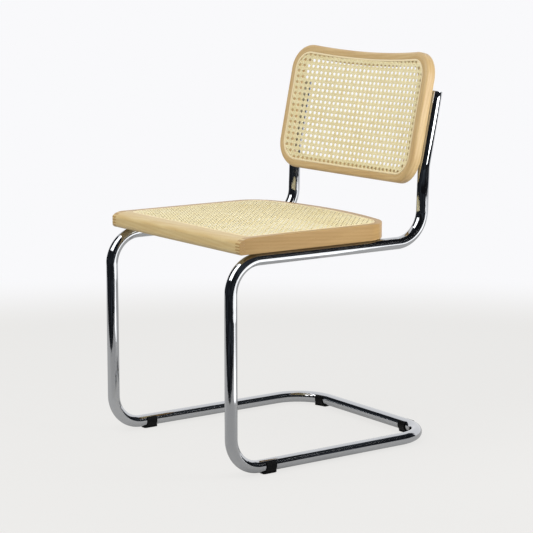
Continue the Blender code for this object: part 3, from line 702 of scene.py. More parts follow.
@dataclass(frozen=True)
class PaintedLightDrape(Finish):
    """Black cloth hung round a set, glowing with painted light, which keeps bright metal from
    showing only pale paper.
    """

    # Both tones glow in place of lit cloth: painted shade in the hollows, painted light on the
    # folds
    hollow: str = "#17181B"
    painted_fold_light: str = "#4A5058"
    fold_width: float = 0.55       # metres from fold to fold
    fold_run: Point3 = (1.0, 1.0, 0.3)     # stretches the folds downwards
    fold_span: Span = (0.48, 0.8)

    def build(self) -> bpy.types.Material:
        """Return the material."""
        made, tree, shader = self.start()
        where = add(tree, "ShaderNodeTexCoord").outputs["Object"]
        hung = add(tree, "ShaderNodeMapping", None, {"Vector": where, "Scale": self.fold_run})
        folds = add(tree, "ShaderNodeTexNoise", None,
                    {"Vector": hung.outputs["Vector"], "Scale": 1 / self.fold_width,
                     "Detail": 2.0})
        # Where a painted shaded hollow gives way to a painted lit fold
        deep = add(tree, "ShaderNodeMapRange", None,
                   {"Value": folds.outputs["Fac"], "From Min": self.fold_span[0],
                    "From Max": self.fold_span[1]})
        tint = add(tree, "ShaderNodeMix", {"data_type": 'RGBA'},
                   {0: deep.outputs["Result"], 6: linear(self.hollow), 7: linear(self.painted_fold_light)})
        # The cloth's look is all glow: painted light, not light that falls on it
        feed(tree, shader, {"Base Color": (0.0, 0.0, 0.0, 1.0), "Specular IOR Level": 0.0,
                            "Emission Color": tint.outputs[2], "Emission Strength": 1.0})
        return made


def seen_directly(tree: bpy.types.NodeTree) -> bpy.types.NodeSocket:
    """Tell rays that show a thing from rays that only light the chair with it.

    Args:
        tree: The tree that gets the nodes.
    Returns:
        One for rays from the camera, from metal and through glass, and none for scattered light.
    """
    path = add(tree, "ShaderNodeLightPath").outputs
    mirrored = add(tree, "ShaderNodeMath", {"operation": 'MAXIMUM'},
                   {0: path["Is Glossy Ray"], 1: path["Is Transmission Ray"]})
    return add(tree, "ShaderNodeMath", {"operation": 'MAXIMUM'},
               {0: path["Is Camera Ray"], 1: mirrored.outputs[0]}).outputs[0]


# Shared sizes


@dataclass(frozen=True)
class Plan:
    """Sizes that several sub-assemblies share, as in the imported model."""

    tube_radius: float = 0.0125
    tube_wall: float = 0.002
    half_width: float = 0.2205
    base_length: float = 0.510
    seat_tube_height: float = 0.427
    floor_tube_height: float = 0.016
    post_setback: float = 0.471
    post_lean: float = 0.029
    kink_height: float = 0.5786
    back_lean: float = 0.206
    post_rise: float = 0.1525      # from the kink to the top, along the post
    gap: float = 0.0003            # left between two pieces
    land: float = 0.018            # from the seat's edge to its groove
    groove_width: float = 0.0045
    groove_depth: float = 0.006
    groove_ease: float = 0.0006
    ledge: float = 0.008           # from the groove to the opening, under the cane
    cane_thickness: float = 0.0016
    leg_y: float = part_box("frame_tube")[0].y + tube_radius

    @property
    def crossbar_y(self) -> float:
        """Axis of the rear crossbar on the floor."""
        return self.leg_y + self.base_length

    @property
    def post_y(self) -> float:
        """Axis of the posts at the seat rails."""
        return self.leg_y + self.post_setback

    @property
    def kink(self) -> Vector:
        """Where both posts' axes kink, on the chair's middle plane."""
        rise = self.kink_height - self.seat_tube_height
        return Vector((0.0, self.post_y + self.post_lean * rise, self.kink_height))

    @property
    def lean(self) -> float:
        """Angle of the back from upright."""
        return atan(self.back_lean)

    @property
    def up(self) -> Vector:
        """Up the back."""
        return Vector((0.0, sin(self.lean), cos(self.lean)))

    @property
    def out(self) -> Vector:
        """Out of the back's front face."""
        return Vector((0.0, -cos(self.lean), sin(self.lean)))

    @property
    def opening(self) -> float:
        """Inset of the seat's opening under the cane."""
        return self.land + self.groove_width + self.ledge


PLAN = Plan()


# Tube frame, caps, glides and screws


@dataclass
class TubeFrame:
    """The one bent tube: floor loop, front legs, seat rails and posts."""

    finish: bpy.types.Material
    side_bend: float = 0.065
    rear_bend: float = 0.065
    kink_bend: float = 0.075
    corner_bend: float = 0.085
    sides: int = 56
    bend_step: float = radians(2.5)
    rim_round: float = 0.0005
    sharp: float = 50.0            # degrees past which an edge stays sharp
    sink_radius: float = 0.0047    # of a screw hole's countersink
    sink_span: Span = (0.0002, 0.0030)     # from the tube's skin to its rim and its foot
    hole_radius: float = 0.0024
    hole_sides: int = 24
    ring_space: float = 0.0015     # between the close rings beside a hole
    ring_count: int = 5            # of them on either side of it
    ring_clear: float = 0.001      # kept between them and the path's own points
    holes: list[tuple[Vector, Vector]] = field(default_factory=list)

    def fillet(self, before: Vector, corner: Vector, after: Vector, radius: float) -> list[Vector]:
        """Points along the round of one bend.

        Args:
            before: The corner before this one.
            corner: Where the two straight axes meet.
            after: The corner after this one.
            radius: Radius of the bend at the tube's axis.
        Returns:
            Points of the arc, from tangent to tangent.
        """
        to_before, to_after = (before - corner).normalized(), (after - corner).normalized()
        turn = pi - to_before.angle(to_after)
        reach = radius * sin(turn / 2) / cos(turn / 2)
        centre = corner + (to_before + to_after).normalized() * (radius / cos(turn / 2))
        start = corner + to_before * reach - centre
        axis = start.cross(corner + to_after * reach - centre)
        steps = max(3, round(turn / self.bend_step))
        return [centre + Matrix.Rotation(turn * i / steps, 3, axis) @ start
                for i in range(steps + 1)]

    def axis(self) -> list[Vector]:
        """The tube's axis.

        Returns:
            Its points, from the top of the left post round to the top of the right one.
        """
        sides = []
        for x in (PLAN.half_width, -PLAN.half_width):
            kink = Vector((x, PLAN.kink.y, PLAN.kink.z))
            low, high = PLAN.floor_tube_height, PLAN.seat_tube_height
            sides.append([kink + PLAN.up * PLAN.post_rise, kink,
                          Vector((x, PLAN.post_y, high)), Vector((x, PLAN.leg_y, high)),
                          Vector((x, PLAN.leg_y, low)), Vector((x, PLAN.crossbar_y, low))])
        corners = sides[0] + sides[1][::-1]
        radii = [self.kink_bend, self.rear_bend, self.side_bend, self.side_bend, self.corner_bend]
        path = [corners[0]]
        for i, radius in enumerate(radii + radii[::-1], start=1):
            path += self.fillet(corners[i - 1], corners[i], corners[i + 1], radius)
        return path + [corners[-1]]

    def near_holes(self, path: list[Vector]) -> list[Vector]:
        """Add close points beside the screws, so that their holes leave the long runs alone.

        Args:
            path: Points of the tube's axis.
        Returns:
            The same points with the close ones among them.
        """
        made = [path[0]]
        for start, end in zip(path[:-1], path[1:]):
            run, length = (end - start).normalized(), (end - start).length
            marks = set()
            for place, _ in self.holes:
                at = (place - start).dot(run)
                side = (place - start - run * at).length
                if side < 1.5 * PLAN.tube_radius:
                    stops = [at + self.ring_space * k
                             for k in range(-self.ring_count, self.ring_count + 1)]
                    marks |= {stop for stop in stops
                              if self.ring_clear < stop < length - self.ring_clear}
            made += [start + run * mark for mark in sorted(marks)] + [end]
        return made

    def build(self) -> None:
        """Make the tube, drilled and countersunk for its screws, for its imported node."""
        path = self.near_holes(self.axis())
        turns = [2 * pi * k / self.sides for k in range(self.sides)]

        def ring_of(radius: float) -> list[Point2]:
            """A round section of the tube."""
            return [(radius * cos(a), radius * sin(a)) for a in turns]

        ends = [path[0] + (path[1] - path[0]).normalized() * self.rim_round,
                path[-1] + (path[-2] - path[-1]).normalized() * self.rim_round]
        across = Vector((1, 0, 0))
        outer = swept([path[0], ends[0], *path[1:-1], ends[1], path[-1]],
                      ring_of(PLAN.tube_radius), across)
        for k in (0, -1):      # the two open ends, with their rims eased
            middle = path[k]
            outer[k] = [middle + (p - middle) * (1 - self.rim_round / PLAN.tube_radius)
                        for p in outer[k]]
        inner = swept(path, ring_of(PLAN.tube_radius - PLAN.tube_wall), across)
        bm = bmesh.new()
        skin(bm, outer + inner[::-1], closed=True)
        tube = mesh_from("tube_chromed", bm, self.finish, self.sharp)
        (rim, foot), deep = self.sink_span, PLAN.tube_radius
        for place, direction in self.holes:
            shape = lathe([(0, -deep / 2), (self.sink_radius, -deep / 2), (self.sink_radius, rim),
                           (self.hole_radius, foot), (self.hole_radius, deep), (0, deep)],
                          self.hole_sides)
            shape.transform(facing(direction, place))
            cut(tube, shape)
        tube.data.shade_smooth()
        tube.data.set_sharp_from_angle(angle=radians(self.sharp))
        finish_piece(tube, "chromed_steel", "frame_tube")


@dataclass
class PostCaps:
    """The two turned caps that close the posts."""

    finish: bpy.types.Material
    thickness: float = 0.0012
    plug: float = 0.010
    rim_round: float = 0.0006
    dome: float = 0.0003
    sides: int = 48

    def build(self) -> None:
        """Make both caps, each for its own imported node."""
        edge = PLAN.tube_radius - PLAN.gap
        bore = PLAN.tube_radius - PLAN.tube_wall - PLAN.gap
        rim = self.rim_round
        rounding = [(edge - rim + rim * cos(a), self.thickness - rim + rim * sin(a))
                    for a in [radians(t) for t in (90, 60, 30, 0)]]
        dome = [(edge * s, self.thickness + self.dome * (1 - s * s))
                for s in (0.0, 0.3, 0.6, 0.85)]
        profile = dome + rounding + [(edge, 0), (bore, 0), (bore, -self.plug), (0, -self.plug)]
        for side, label in ((1, "left"), (-1, "right")):
            bm = lathe(profile, self.sides)
            top = PLAN.kink + Vector((side * PLAN.half_width, 0, 0)) + PLAN.up * PLAN.post_rise
            bm.transform(facing(PLAN.up, top + PLAN.up * PLAN.gap))
            cap = mesh_from(f"cap_{label}_chromed", bm, self.finish, angle=40)
            finish_piece(cap, "chromed_steel", f"post_cap_{label}")


@dataclass
class Glides:
    """The four clip-on glides: a band round the tube and a longer flat foot."""

    finish: bpy.types.Material
    band_length: float = 0.024
    band: float = 0.0022
    band_clear: float = 0.0002     # from the tube to the band
    band_round: float = 0.0007     # of its two edges
    band_rings: int = 28
    band_steps: int = 44
    wrap: float = radians(126)     # how far it climbs up either side of the tube
    foot_length: float = 0.034
    foot_width: float = 0.018
    foot_clear: float = 0.0005     # from the tube to the foot's hollow
    foot_round: float = 0.0011
    foot_corner: float = 0.006
    foot_rings: int = 16           # on either side of its middle
    foot_lift: float = 0.0008      # of its very ends, over the last share of their corners
    foot_lift_share: float = 0.2
    front_space: float = 0.0875
    rear_left: float = 0.134       # along the crossbar from its middle
    rear_right: float = -0.158

    def stretch(self, path: list[Vector], low: float, high: float, count: int) -> list[Vector]:
        """Even points of a path between two distances from its own middle.

        Args:
            path: Points of the path.
            low: The first distance.
            high: The last one.
            count: Number of points.
        Returns:
            The points.
        """
        marks = np.concatenate(([0.0], np.cumsum([(b - a).length
                                                  for a, b in zip(path[:-1], path[1:])])))
        marks -= marks[-1] / 2
        stops = np.linspace(low, high, count)
        columns = [np.interp(stops, marks, [p[k] for p in path]) for k in range(3)]
        return [Vector(p) for p in zip(*columns)]

    def band_ring(self, thickness: float) -> list[Point2]:
        """Section of the band, with rounded ends.

        Args:
            thickness: Its thickness.
        Returns:
            Its points, as (up, across) from the tube's axis.
        """
        inner = PLAN.tube_radius + self.band_clear
        outer = inner + thickness
        steps = self.band_steps
        turns = [self.wrap * (2 * i / steps - 1) for i in range(steps + 1)]
        tip, half = (inner + outer) / 2, thickness / 2

        def rounded(sign: int) -> list[Point2]:
            """Points round one of its ends."""
            spots = [(sign * (self.wrap + half / tip * sin(t)), tip - sign * half * cos(t))
                     for t in [pi * k / 6 for k in range(1, 6)]]
            return [(-r * cos(a), r * sin(a)) for a, r in spots]

        return ([(-inner * cos(a), inner * sin(a)) for a in turns] + rounded(1)
                + [(-outer * cos(a), outer * sin(a)) for a in turns[::-1]] + rounded(-1))

    def foot_ring(self, half: float, lift: float) -> list[Point2]:
        """Section of the foot: flat below with eased edges, and hollowed above for the tube.

        Args:
            half: Half of its width.
            lift: How far its flat is off the floor.
        Returns:
            Its points, as (up, across) from the tube's axis.
        """
        floor = -PLAN.floor_tube_height
        ease = self.foot_round
        hollow = PLAN.tube_radius + self.foot_clear
        spots = [half - 2 * half * i / 10 for i in range(11)]
        top = [(-sqrt(hollow * hollow - spot * spot), spot) for spot in spots]
        low = arc((-half + ease, ease), ease, 180, 270, 4)
        low += arc((half - ease, ease), ease, 270, 360, 4)
        return [(floor + lift + z, y) for y, z in low] + top

    def build_one(self, name: str, path: list[Vector], middle: float) -> None:
        """Make one glide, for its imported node.

        Args:
            name: The node's name.
            path: Points of the tube's axis under which it hangs.
            middle: Its place, as a distance from the path's middle.
        """
        bm = bmesh.new()
        half, ease, last = self.band_length / 2, self.band_round, self.band_rings
        points = self.stretch(path, middle - half, middle + half, last + 1)
        rings = []
        for i in range(last + 1):
            from_end = self.band_length * min(i, last - i) / last
            short = max(0.0, ease - from_end)
            thin = self.band - ease + sqrt(max(0.0, ease * ease - short * short))
            rings.append(swept(points, self.band_ring(thin), UP)[i])
        skin(bm, rings, closed=False)

        half, corner, last = self.foot_length / 2, self.foot_corner, self.foot_rings
        stops = [half * sin(pi / 2 * k / last) for k in range(-last, last + 1)]
        near = 1e-4
        points = [self.stretch(path, middle + s - near, middle + s + near, 3)[1] for s in stops]
        rings = []
        for i, stop in enumerate(stops):
            into = max(0.0, abs(stop) - (half - corner)) / corner
            width = self.foot_width / 2 - corner * (1 - sqrt(max(0.0, 1 - into * into)))
            share = self.foot_lift_share
            lift = self.foot_lift * max(0.0, into - (1 - share)) / share
            rings.append(swept(points, self.foot_ring(width, lift), UP)[i])
        skin(bm, rings, closed=False)
        glide = mesh_from(f"{name}_nylon", bm, self.finish, angle=40)
        finish_piece(glide, "black_plastic", name)

    def build(self, axis: list[Vector]) -> None:
        """Make all four glides.

        Args:
            axis: Points of the tube's axis.
        """
        for name, side in (("glide_front_left", 1), ("glide_front_right", -1)):
            middle = Vector((side * PLAN.half_width, PLAN.leg_y + self.front_space,
                             PLAN.floor_tube_height))
            reach = Vector((0, self.foot_length, 0))
            self.build_one(name, [middle - reach, middle + reach], 0.0)
        loop_top = 0.065       # above it, the rear half of the axis is seat rail and post
        rear = [p for p in axis if p.y > 0 and p.z < loop_top][::-1]
        self.build_one("glide_rear_left", rear, self.rear_left)
        self.build_one("glide_rear_right", rear, self.rear_right)


@dataclass
class Screws:
    """Eight zinc-plated wood screws with a cross recess, from below and from behind."""

    finish: bpy.types.Material
    head_radius: float = 0.0042
    head_height: float = 0.0024
    radius: float = 0.0021
    length: float = 0.044
    tip: float = 0.006
    rim: float = 0.0002            # depth of the head's widest ring
    dome: float = 0.0009
    thread_end: float = 0.016      # from the head's rim
    thread_pitch: float = 0.0016
    thread_root: float = 0.72      # of the radius
    neck: float = 0.95             # of the radius, on the plain part of the shank
    neck_end: float = 0.015
    recess: Span = (0.0005, 0.0023)        # half the width and length of a slot of the cross
    recess_depth: float = 0.0012
    sides: int = 24
    turn_seed: int = 7
    front_space: float = 0.135
    rear_space: float = 0.151
    lower_space: float = 0.030
    upper_space: float = 0.032

    def places(self) -> list[tuple[str, Vector, Vector]]:
        """Where the screws go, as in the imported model.

        Returns:
            Each screw's name, the middle of its head and its direction.
        """
        sunk = self.head_radius ** 2 / (2 * PLAN.tube_radius)
        found = []
        for label, side in (("left", 1), ("right", -1)):
            aside = Vector((side * PLAN.half_width, 0, 0))
            for where, y in (("front", PLAN.leg_y + self.front_space),
                             ("rear", PLAN.post_y - self.rear_space)):
                spot = aside + Vector((0, y, PLAN.seat_tube_height - PLAN.tube_radius))
                found.append((f"seat_screw_{where}_{label}", spot + UP * sunk, UP))
            for where, rise in (("lower", self.lower_space),
                                ("upper", PLAN.post_rise - self.upper_space)):
                spot = PLAN.kink + aside + PLAN.up * rise - PLAN.out * PLAN.tube_radius
                found.append((f"back_screw_{where}_{label}", spot + PLAN.out * sunk, PLAN.out))
        return found

    def pattern(self) -> bpy.types.Object:
        """Make one screw, standing head down at the origin, with its cross recess cut in.

        Returns:
            The screw.
        """
        domes = [(self.head_radius * s, -self.dome * (1 - s * s)) for s in (0.9, 0.7, 0.45, 0.2)]
        crest = self.length - self.tip
        profile = [(0, self.length), (self.radius, crest)]
        while crest > self.thread_end:
            profile += [(self.radius, crest),
                        (self.radius * self.thread_root, crest - self.thread_pitch / 2)]
            crest -= self.thread_pitch
        profile += [(self.radius * self.neck, self.neck_end),
                    (self.radius * self.neck, self.head_height),
                    (self.head_radius, self.rim), *domes, (0, -self.dome)]
        screw = mesh_from("screw_pattern", lathe(profile, self.sides), self.finish, angle=35)
        (thin, long), outside = self.recess, -0.004
        for across, along in ((thin, long), (long, thin)):
            slot = bmesh.new()
            add_box(slot, Vector((-across, -along, outside)),
                    Vector((across, along, self.recess_depth)))
            cut(screw, slot)
        return screw

    def tree(self) -> bpy.types.NodeTree:
        """Nodes that stand a screw on every point, along the point's own direction.

        Returns:
            The tree.
        """
        tree = bpy.data.node_groups.new("drive_screws", 'GeometryNodeTree')
        face = tree.interface
        face.new_socket("Places", in_out='INPUT', socket_type='NodeSocketGeometry')
        face.new_socket("Screw", in_out='INPUT', socket_type='NodeSocketObject')
        size = face.new_socket("Head Scale", in_out='INPUT', socket_type='NodeSocketFloat')
        size.default_value = 1.0
        turn = face.new_socket("Turn Spread", in_out='INPUT', socket_type='NodeSocketFloat')
        turn.default_value = 3.0
        face.new_socket("Plating", in_out='INPUT', socket_type='NodeSocketMaterial')
        face.new_socket("Screws", in_out='OUTPUT', socket_type='NodeSocketGeometry')
        given = add(tree, "NodeGroupInput").outputs
        model = add(tree, "GeometryNodeObjectInfo", None, {"Object": given["Screw"]})
        way = add(tree, "GeometryNodeInputNamedAttribute", {"data_type": 'FLOAT_VECTOR'},
                  {"Name": "way"})
        stand = add(tree, "FunctionNodeAlignRotationToVector", {"axis": 'Z'},
                    {"Vector": way.outputs["Attribute"]})
        spin = add(tree, "FunctionNodeRandomValue", {"data_type": 'FLOAT'},
                   {2: 0.0, 3: given["Turn Spread"], "Seed": self.turn_seed})
        spun = add(tree, "FunctionNodeAxisAngleToRotation", None,
                   {"Axis": (0.0, 0.0, 1.0), "Angle": spin.outputs[1]})
        turned = add(tree, "FunctionNodeRotateRotation", {"rotation_space": 'LOCAL'},
                     {"Rotation": stand.outputs["Rotation"], "Rotate By": spun.outputs[0]})
        placed = add(tree, "GeometryNodeInstanceOnPoints", None,
                     {"Points": given["Places"], "Instance": model.outputs["Geometry"],
                      "Rotation": turned.outputs["Rotation"], "Scale": given["Head Scale"]})
        real = add(tree, "GeometryNodeRealizeInstances", None,
                   {"Geometry": placed.outputs["Instances"]})
        plated = add(tree, "GeometryNodeSetMaterial", None,
                     {"Geometry": real.outputs["Geometry"], "Material": given["Plating"]})
        add(tree, "NodeGroupOutput", None, {"Screws": plated.outputs["Geometry"]})
        return tree

    def build(self) -> None:
        """Make the screws on their places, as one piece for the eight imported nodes."""
        spots = self.places()
        mesh = bpy.data.meshes.new("screws_zinc")
        mesh.from_pydata([tuple(place) for _, place, _ in spots], [], [])
        layer = mesh.attributes.new("way", 'FLOAT_VECTOR', 'POINT')
        layer.data.foreach_set("vector", [c for _, _, way in spots for c in way])
        screws = bpy.data.objects.new("screws_zinc", mesh)
        bpy.context.scene.collection.objects.link(screws)
        model = self.pattern()
        run_tree(screws, self.tree(), {"Screw": model, "Plating": self.finish})
        bpy.data.objects.remove(model)
        finish_piece(screws, "zinc_plated_steel", *[name for name, _, _ in spots])


# Beech frames


def rounded_rectangle(half: float, low: float, high: float, low_radius: float,
                      high_radius: float, steps: int = 18, span_steps: int = 40) -> list[Point2]:
    """Points round a rectangle with round corners, anticlockwise from the low right corner.

    Args:
        half: Half of its width.
        low: Its lower side.
        high: Its upper side.
        low_radius: Radius of its lower corners.
        high_radius: Radius of its upper corners.
        steps: Straight steps of each corner.
        span_steps: Straight steps of each side.
    Returns:
        The points.
    """
    def span(start: Point2, end: Point2) -> list[Point2]:
        """Points between two others."""
        shares = [i / span_steps for i in range(1, span_steps)]
        return [(start[0] + (end[0] - start[0]) * s, start[1] + (end[1] - start[1]) * s)
                for s in shares]

    points = arc((half - low_radius, low + low_radius), low_radius, 270, 360, steps)
    points += span(points[-1], (half, high - high_radius))
    points += arc((half - high_radius, high - high_radius), high_radius, 0, 90, steps)
    points += span(points[-1], (high_radius - half, high))
    points += arc((high_radius - half, high - high_radius), high_radius, 90, 180, steps)
    points += span(points[-1], (-half, low + low_radius))
    points += arc((low_radius - half, low + low_radius), low_radius, 180, 270, steps)
    return points + span(points[-1], (half - low_radius, low))


def groove_section(land: float) -> list[Point2]:
    """Part of a member's section, as (inset, depth): its groove and the start of its ledge."""
    inner = land + PLAN.groove_width
    return [(land - PLAN.groove_ease, 0.0), (land, PLAN.groove_ease), (land, PLAN.groove_depth),
            (inner, PLAN.groove_depth), (inner, PLAN.cane_thickness + PLAN.gap)]


def outer_section(thickness: float, edge: float, steps: int) -> list[Point2]:
    """The rounded outer side of a member's section, as (inset, depth), from rear to front."""
    section = arc((edge, thickness - edge), edge, 90, 180, steps)
    return section + arc((edge, edge), edge, 180, 270, steps)


@dataclass
class SeatFrame:
    """The seat's front board and bent rail, finger jointed at the front corners."""

    rail_finish: bpy.types.Material
    board_finish: bpy.types.Material
    overhang: float = 0.0142
    front: float = 0.0105
    rear_space: float = 0.0535
    thickness: float = 0.032
    rear_bow: float = 0.039
    rear_corner: float = 0.060
    edge: float = 0.0015
    edge_steps: int = 4
    front_land: float = 0.0295
    nose_run: float = 0.028        # how far back the rolled nose starts, and how far it drops
    nose_drop: float = 0.0125
    nose_steps: int = 28
    nose_tuck: float = 0.0072      # how far its foot draws in, and from how far up
    tuck_rise: float = 0.010
    tuck_steps: int = 12
    opening_corner: float = 0.010
    layers: int = 11               # of fingers and gaps in a corner joint
    finger: float = 0.014
    shoulder: float = 0.004
    joint_gap: float = 0.00008
    grain_inset: float = 0.03      # from the board's front to the line that its fibres follow

    @property
    def width(self) -> float:
        """The seat's width."""
        return 2 * (PLAN.half_width + self.overhang)

    @property
    def depth(self) -> float:
        """The seat's depth at its middle."""
        return PLAN.post_setback - self.rear_space - self.front

    @property
    def top(self) -> float:
        """Height of the seat's top above the floor."""
        return PLAN.seat_tube_height + PLAN.tube_radius + PLAN.gap + self.thickness

    def place(self) -> Matrix:
        """From the seat's own plan, with depths above it, to the chair."""
        return Matrix.Translation((0.0, PLAN.leg_y, self.top))

    def outline(self, inset: float) -> list[Point2]:
        """The frame's outline in plan, brought in by an inset.

        Args:
            inset: How far. From the groove inwards, the front keeps a wider land of its own.
        Returns:
            Points round the frame.
        """
        front_inset, radius = inset, self.edge
        if inset >= PLAN.land - 2 * PLAN.groove_ease:
            front_inset = inset + self.front_land - PLAN.land
            radius = self.opening_corner + PLAN.opening - inset
        points = rounded_rectangle(self.width / 2 - inset, self.front + front_inset,
                                   self.front + self.depth - inset, radius,
                                   self.rear_corner - inset)
        return [(x, y - self.bow(x, y)) for x, y in points]

    def bow(self, x: float, y: float) -> float:
        """How far the bowed rear edge draws a point of the plan forward."""
        back = max(2 * (y - self.front) / self.depth - 1, 0.0)
        return self.rear_bow * (2 * x / self.width) ** 2 * back

    def ring(self, name: str, finish: bpy.types.Material) -> bpy.types.Object:
        """Make the whole frame, with its nose rolled, before it is parted in two.

        Args:
            name: The piece's name.
            finish: Its material.
        Returns:
            The piece.
        """
        bm = bmesh.new()
        place = self.place()
        under = self.thickness - self.edge
        section = groove_section(PLAN.land) + [(PLAN.opening, PLAN.cane_thickness + PLAN.gap)]
        section += arc((PLAN.opening - self.edge, under), self.edge, 0, 90, self.edge_steps)
        section += outer_section(self.thickness, self.edge, self.edge_steps)
        skin(bm, [[place @ Vector((x, y, -depth)) for x, y in self.outline(inset)]
                  for inset, depth in section], closed=True)
        ring = mesh_from(name, bm, finish)

        nose, tuck = self.nose_steps, self.tuck_steps
        bottom, clear = -self.thickness, self.front - self.thickness
        profile = [(self.front + self.nose_run * (1 - sin(a)), -self.nose_drop * (1 - cos(a)))
                   for a in [pi / 2 * i / nose for i in range(nose + 1)]]
        profile += [(self.front + self.nose_tuck * (1 - cos(a)),
                     bottom - PLAN.gap + self.tuck_rise * (1 - sin(a)))
                    for a in [pi / 2 * i / tuck for i in range(tuck + 1)]]
        profile += [(clear, bottom - PLAN.gap), (clear, PLAN.gap),
                    (self.front + self.nose_run, PLAN.gap)]
        shape = bmesh.new()
        face = shape.faces.new([shape.verts.new(place @ Vector((-self.width, y, z)))
                                for y, z in profile])
        moved = bmesh.ops.extrude_face_region(shape, geom=[face])
        bmesh.ops.translate(shape, vec=(2 * self.width, 0, 0),
                            verts=[v for v in moved["geom"] if isinstance(v, bmesh.types.BMVert)])
        cut(ring, shape)
        return ring

    def boxes(self, ranges: list[tuple[Span, Span, Span]]) -> bmesh.types.BMesh:
        """Make boxes to cut the joints with.

        Args:
            ranges: Each box across, back from the legs' axis and down from the top.
        Returns:
            The boxes.
        """
        shape = bmesh.new()
        for across, back, down in ranges:
            add_box(shape, self.place() @ Vector((across[0], back[0], -down[1])),
                    self.place() @ Vector((across[1], back[1], -down[0])))
        return shape

    def build(self) -> None:
        """Make the front board and the bent rail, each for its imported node."""
        gap, far = self.joint_gap, 2 * self.width
        edge, lap = self.width / 2 - self.finger, self.front + self.finger
        end = self.front + self.front_land - PLAN.land + PLAN.opening + self.shoulder
        tall = (-self.thickness, 2 * self.thickness)
        height = self.thickness / self.layers
        odd = [(height * i, height * (i + 1)) for i in range(1, self.layers, 2)]

        board = self.ring("front_board_beech", self.board_finish)
        cut(board, self.boxes([((-far, far), (end, far), tall)]))
        cut(board, self.boxes([((edge, far), (lap, far), tall), ((-far, -edge), (lap, far), tall)]))
        cut(board, self.boxes([(side, (-far, lap + self.shoulder), layer)
                               for side in ((edge, far), (-far, -edge)) for layer in odd]))
        middle = self.top - self.thickness / 2
        grain_y = PLAN.leg_y + self.front + self.grain_inset
        follow_grain(board, [Vector((x, grain_y, middle))
                             for x in (-self.width / 2, self.width / 2)], UP, closed=False)
        finish_piece(board, "front_beech", "seat_front_board")

        rail = self.ring("bent_rail_beech", self.rail_finish)
        reach = edge + gap
        cut(rail, self.boxes([((-reach, reach), (-far, end + gap), tall)]))
        bounds = [-self.thickness]
        for low, high in odd:
            bounds += [low + gap, high - gap]
        bounds.append(2 * self.thickness)
        cut(rail, self.boxes([(side, (-far, lap + gap), layer)
                              for side in ((reach - gap, far), (-far, gap - reach))
                              for layer in zip(bounds[0::2], bounds[1::2])]))
        loop = [Vector((x, PLAN.leg_y + y, middle)) for x, y in self.outline(PLAN.opening / 2)]
        start = max(range(len(loop)), key=lambda k: loop[k].x - loop[k].y)
        loop = loop[start:] + loop[:start]
        last = min(range(len(loop)), key=lambda k: loop[k].x + loop[k].y)
        follow_grain(rail, loop[:last + 1], UP, closed=False)
        finish_piece(rail, "seat_beech", "seat_bent_rail")


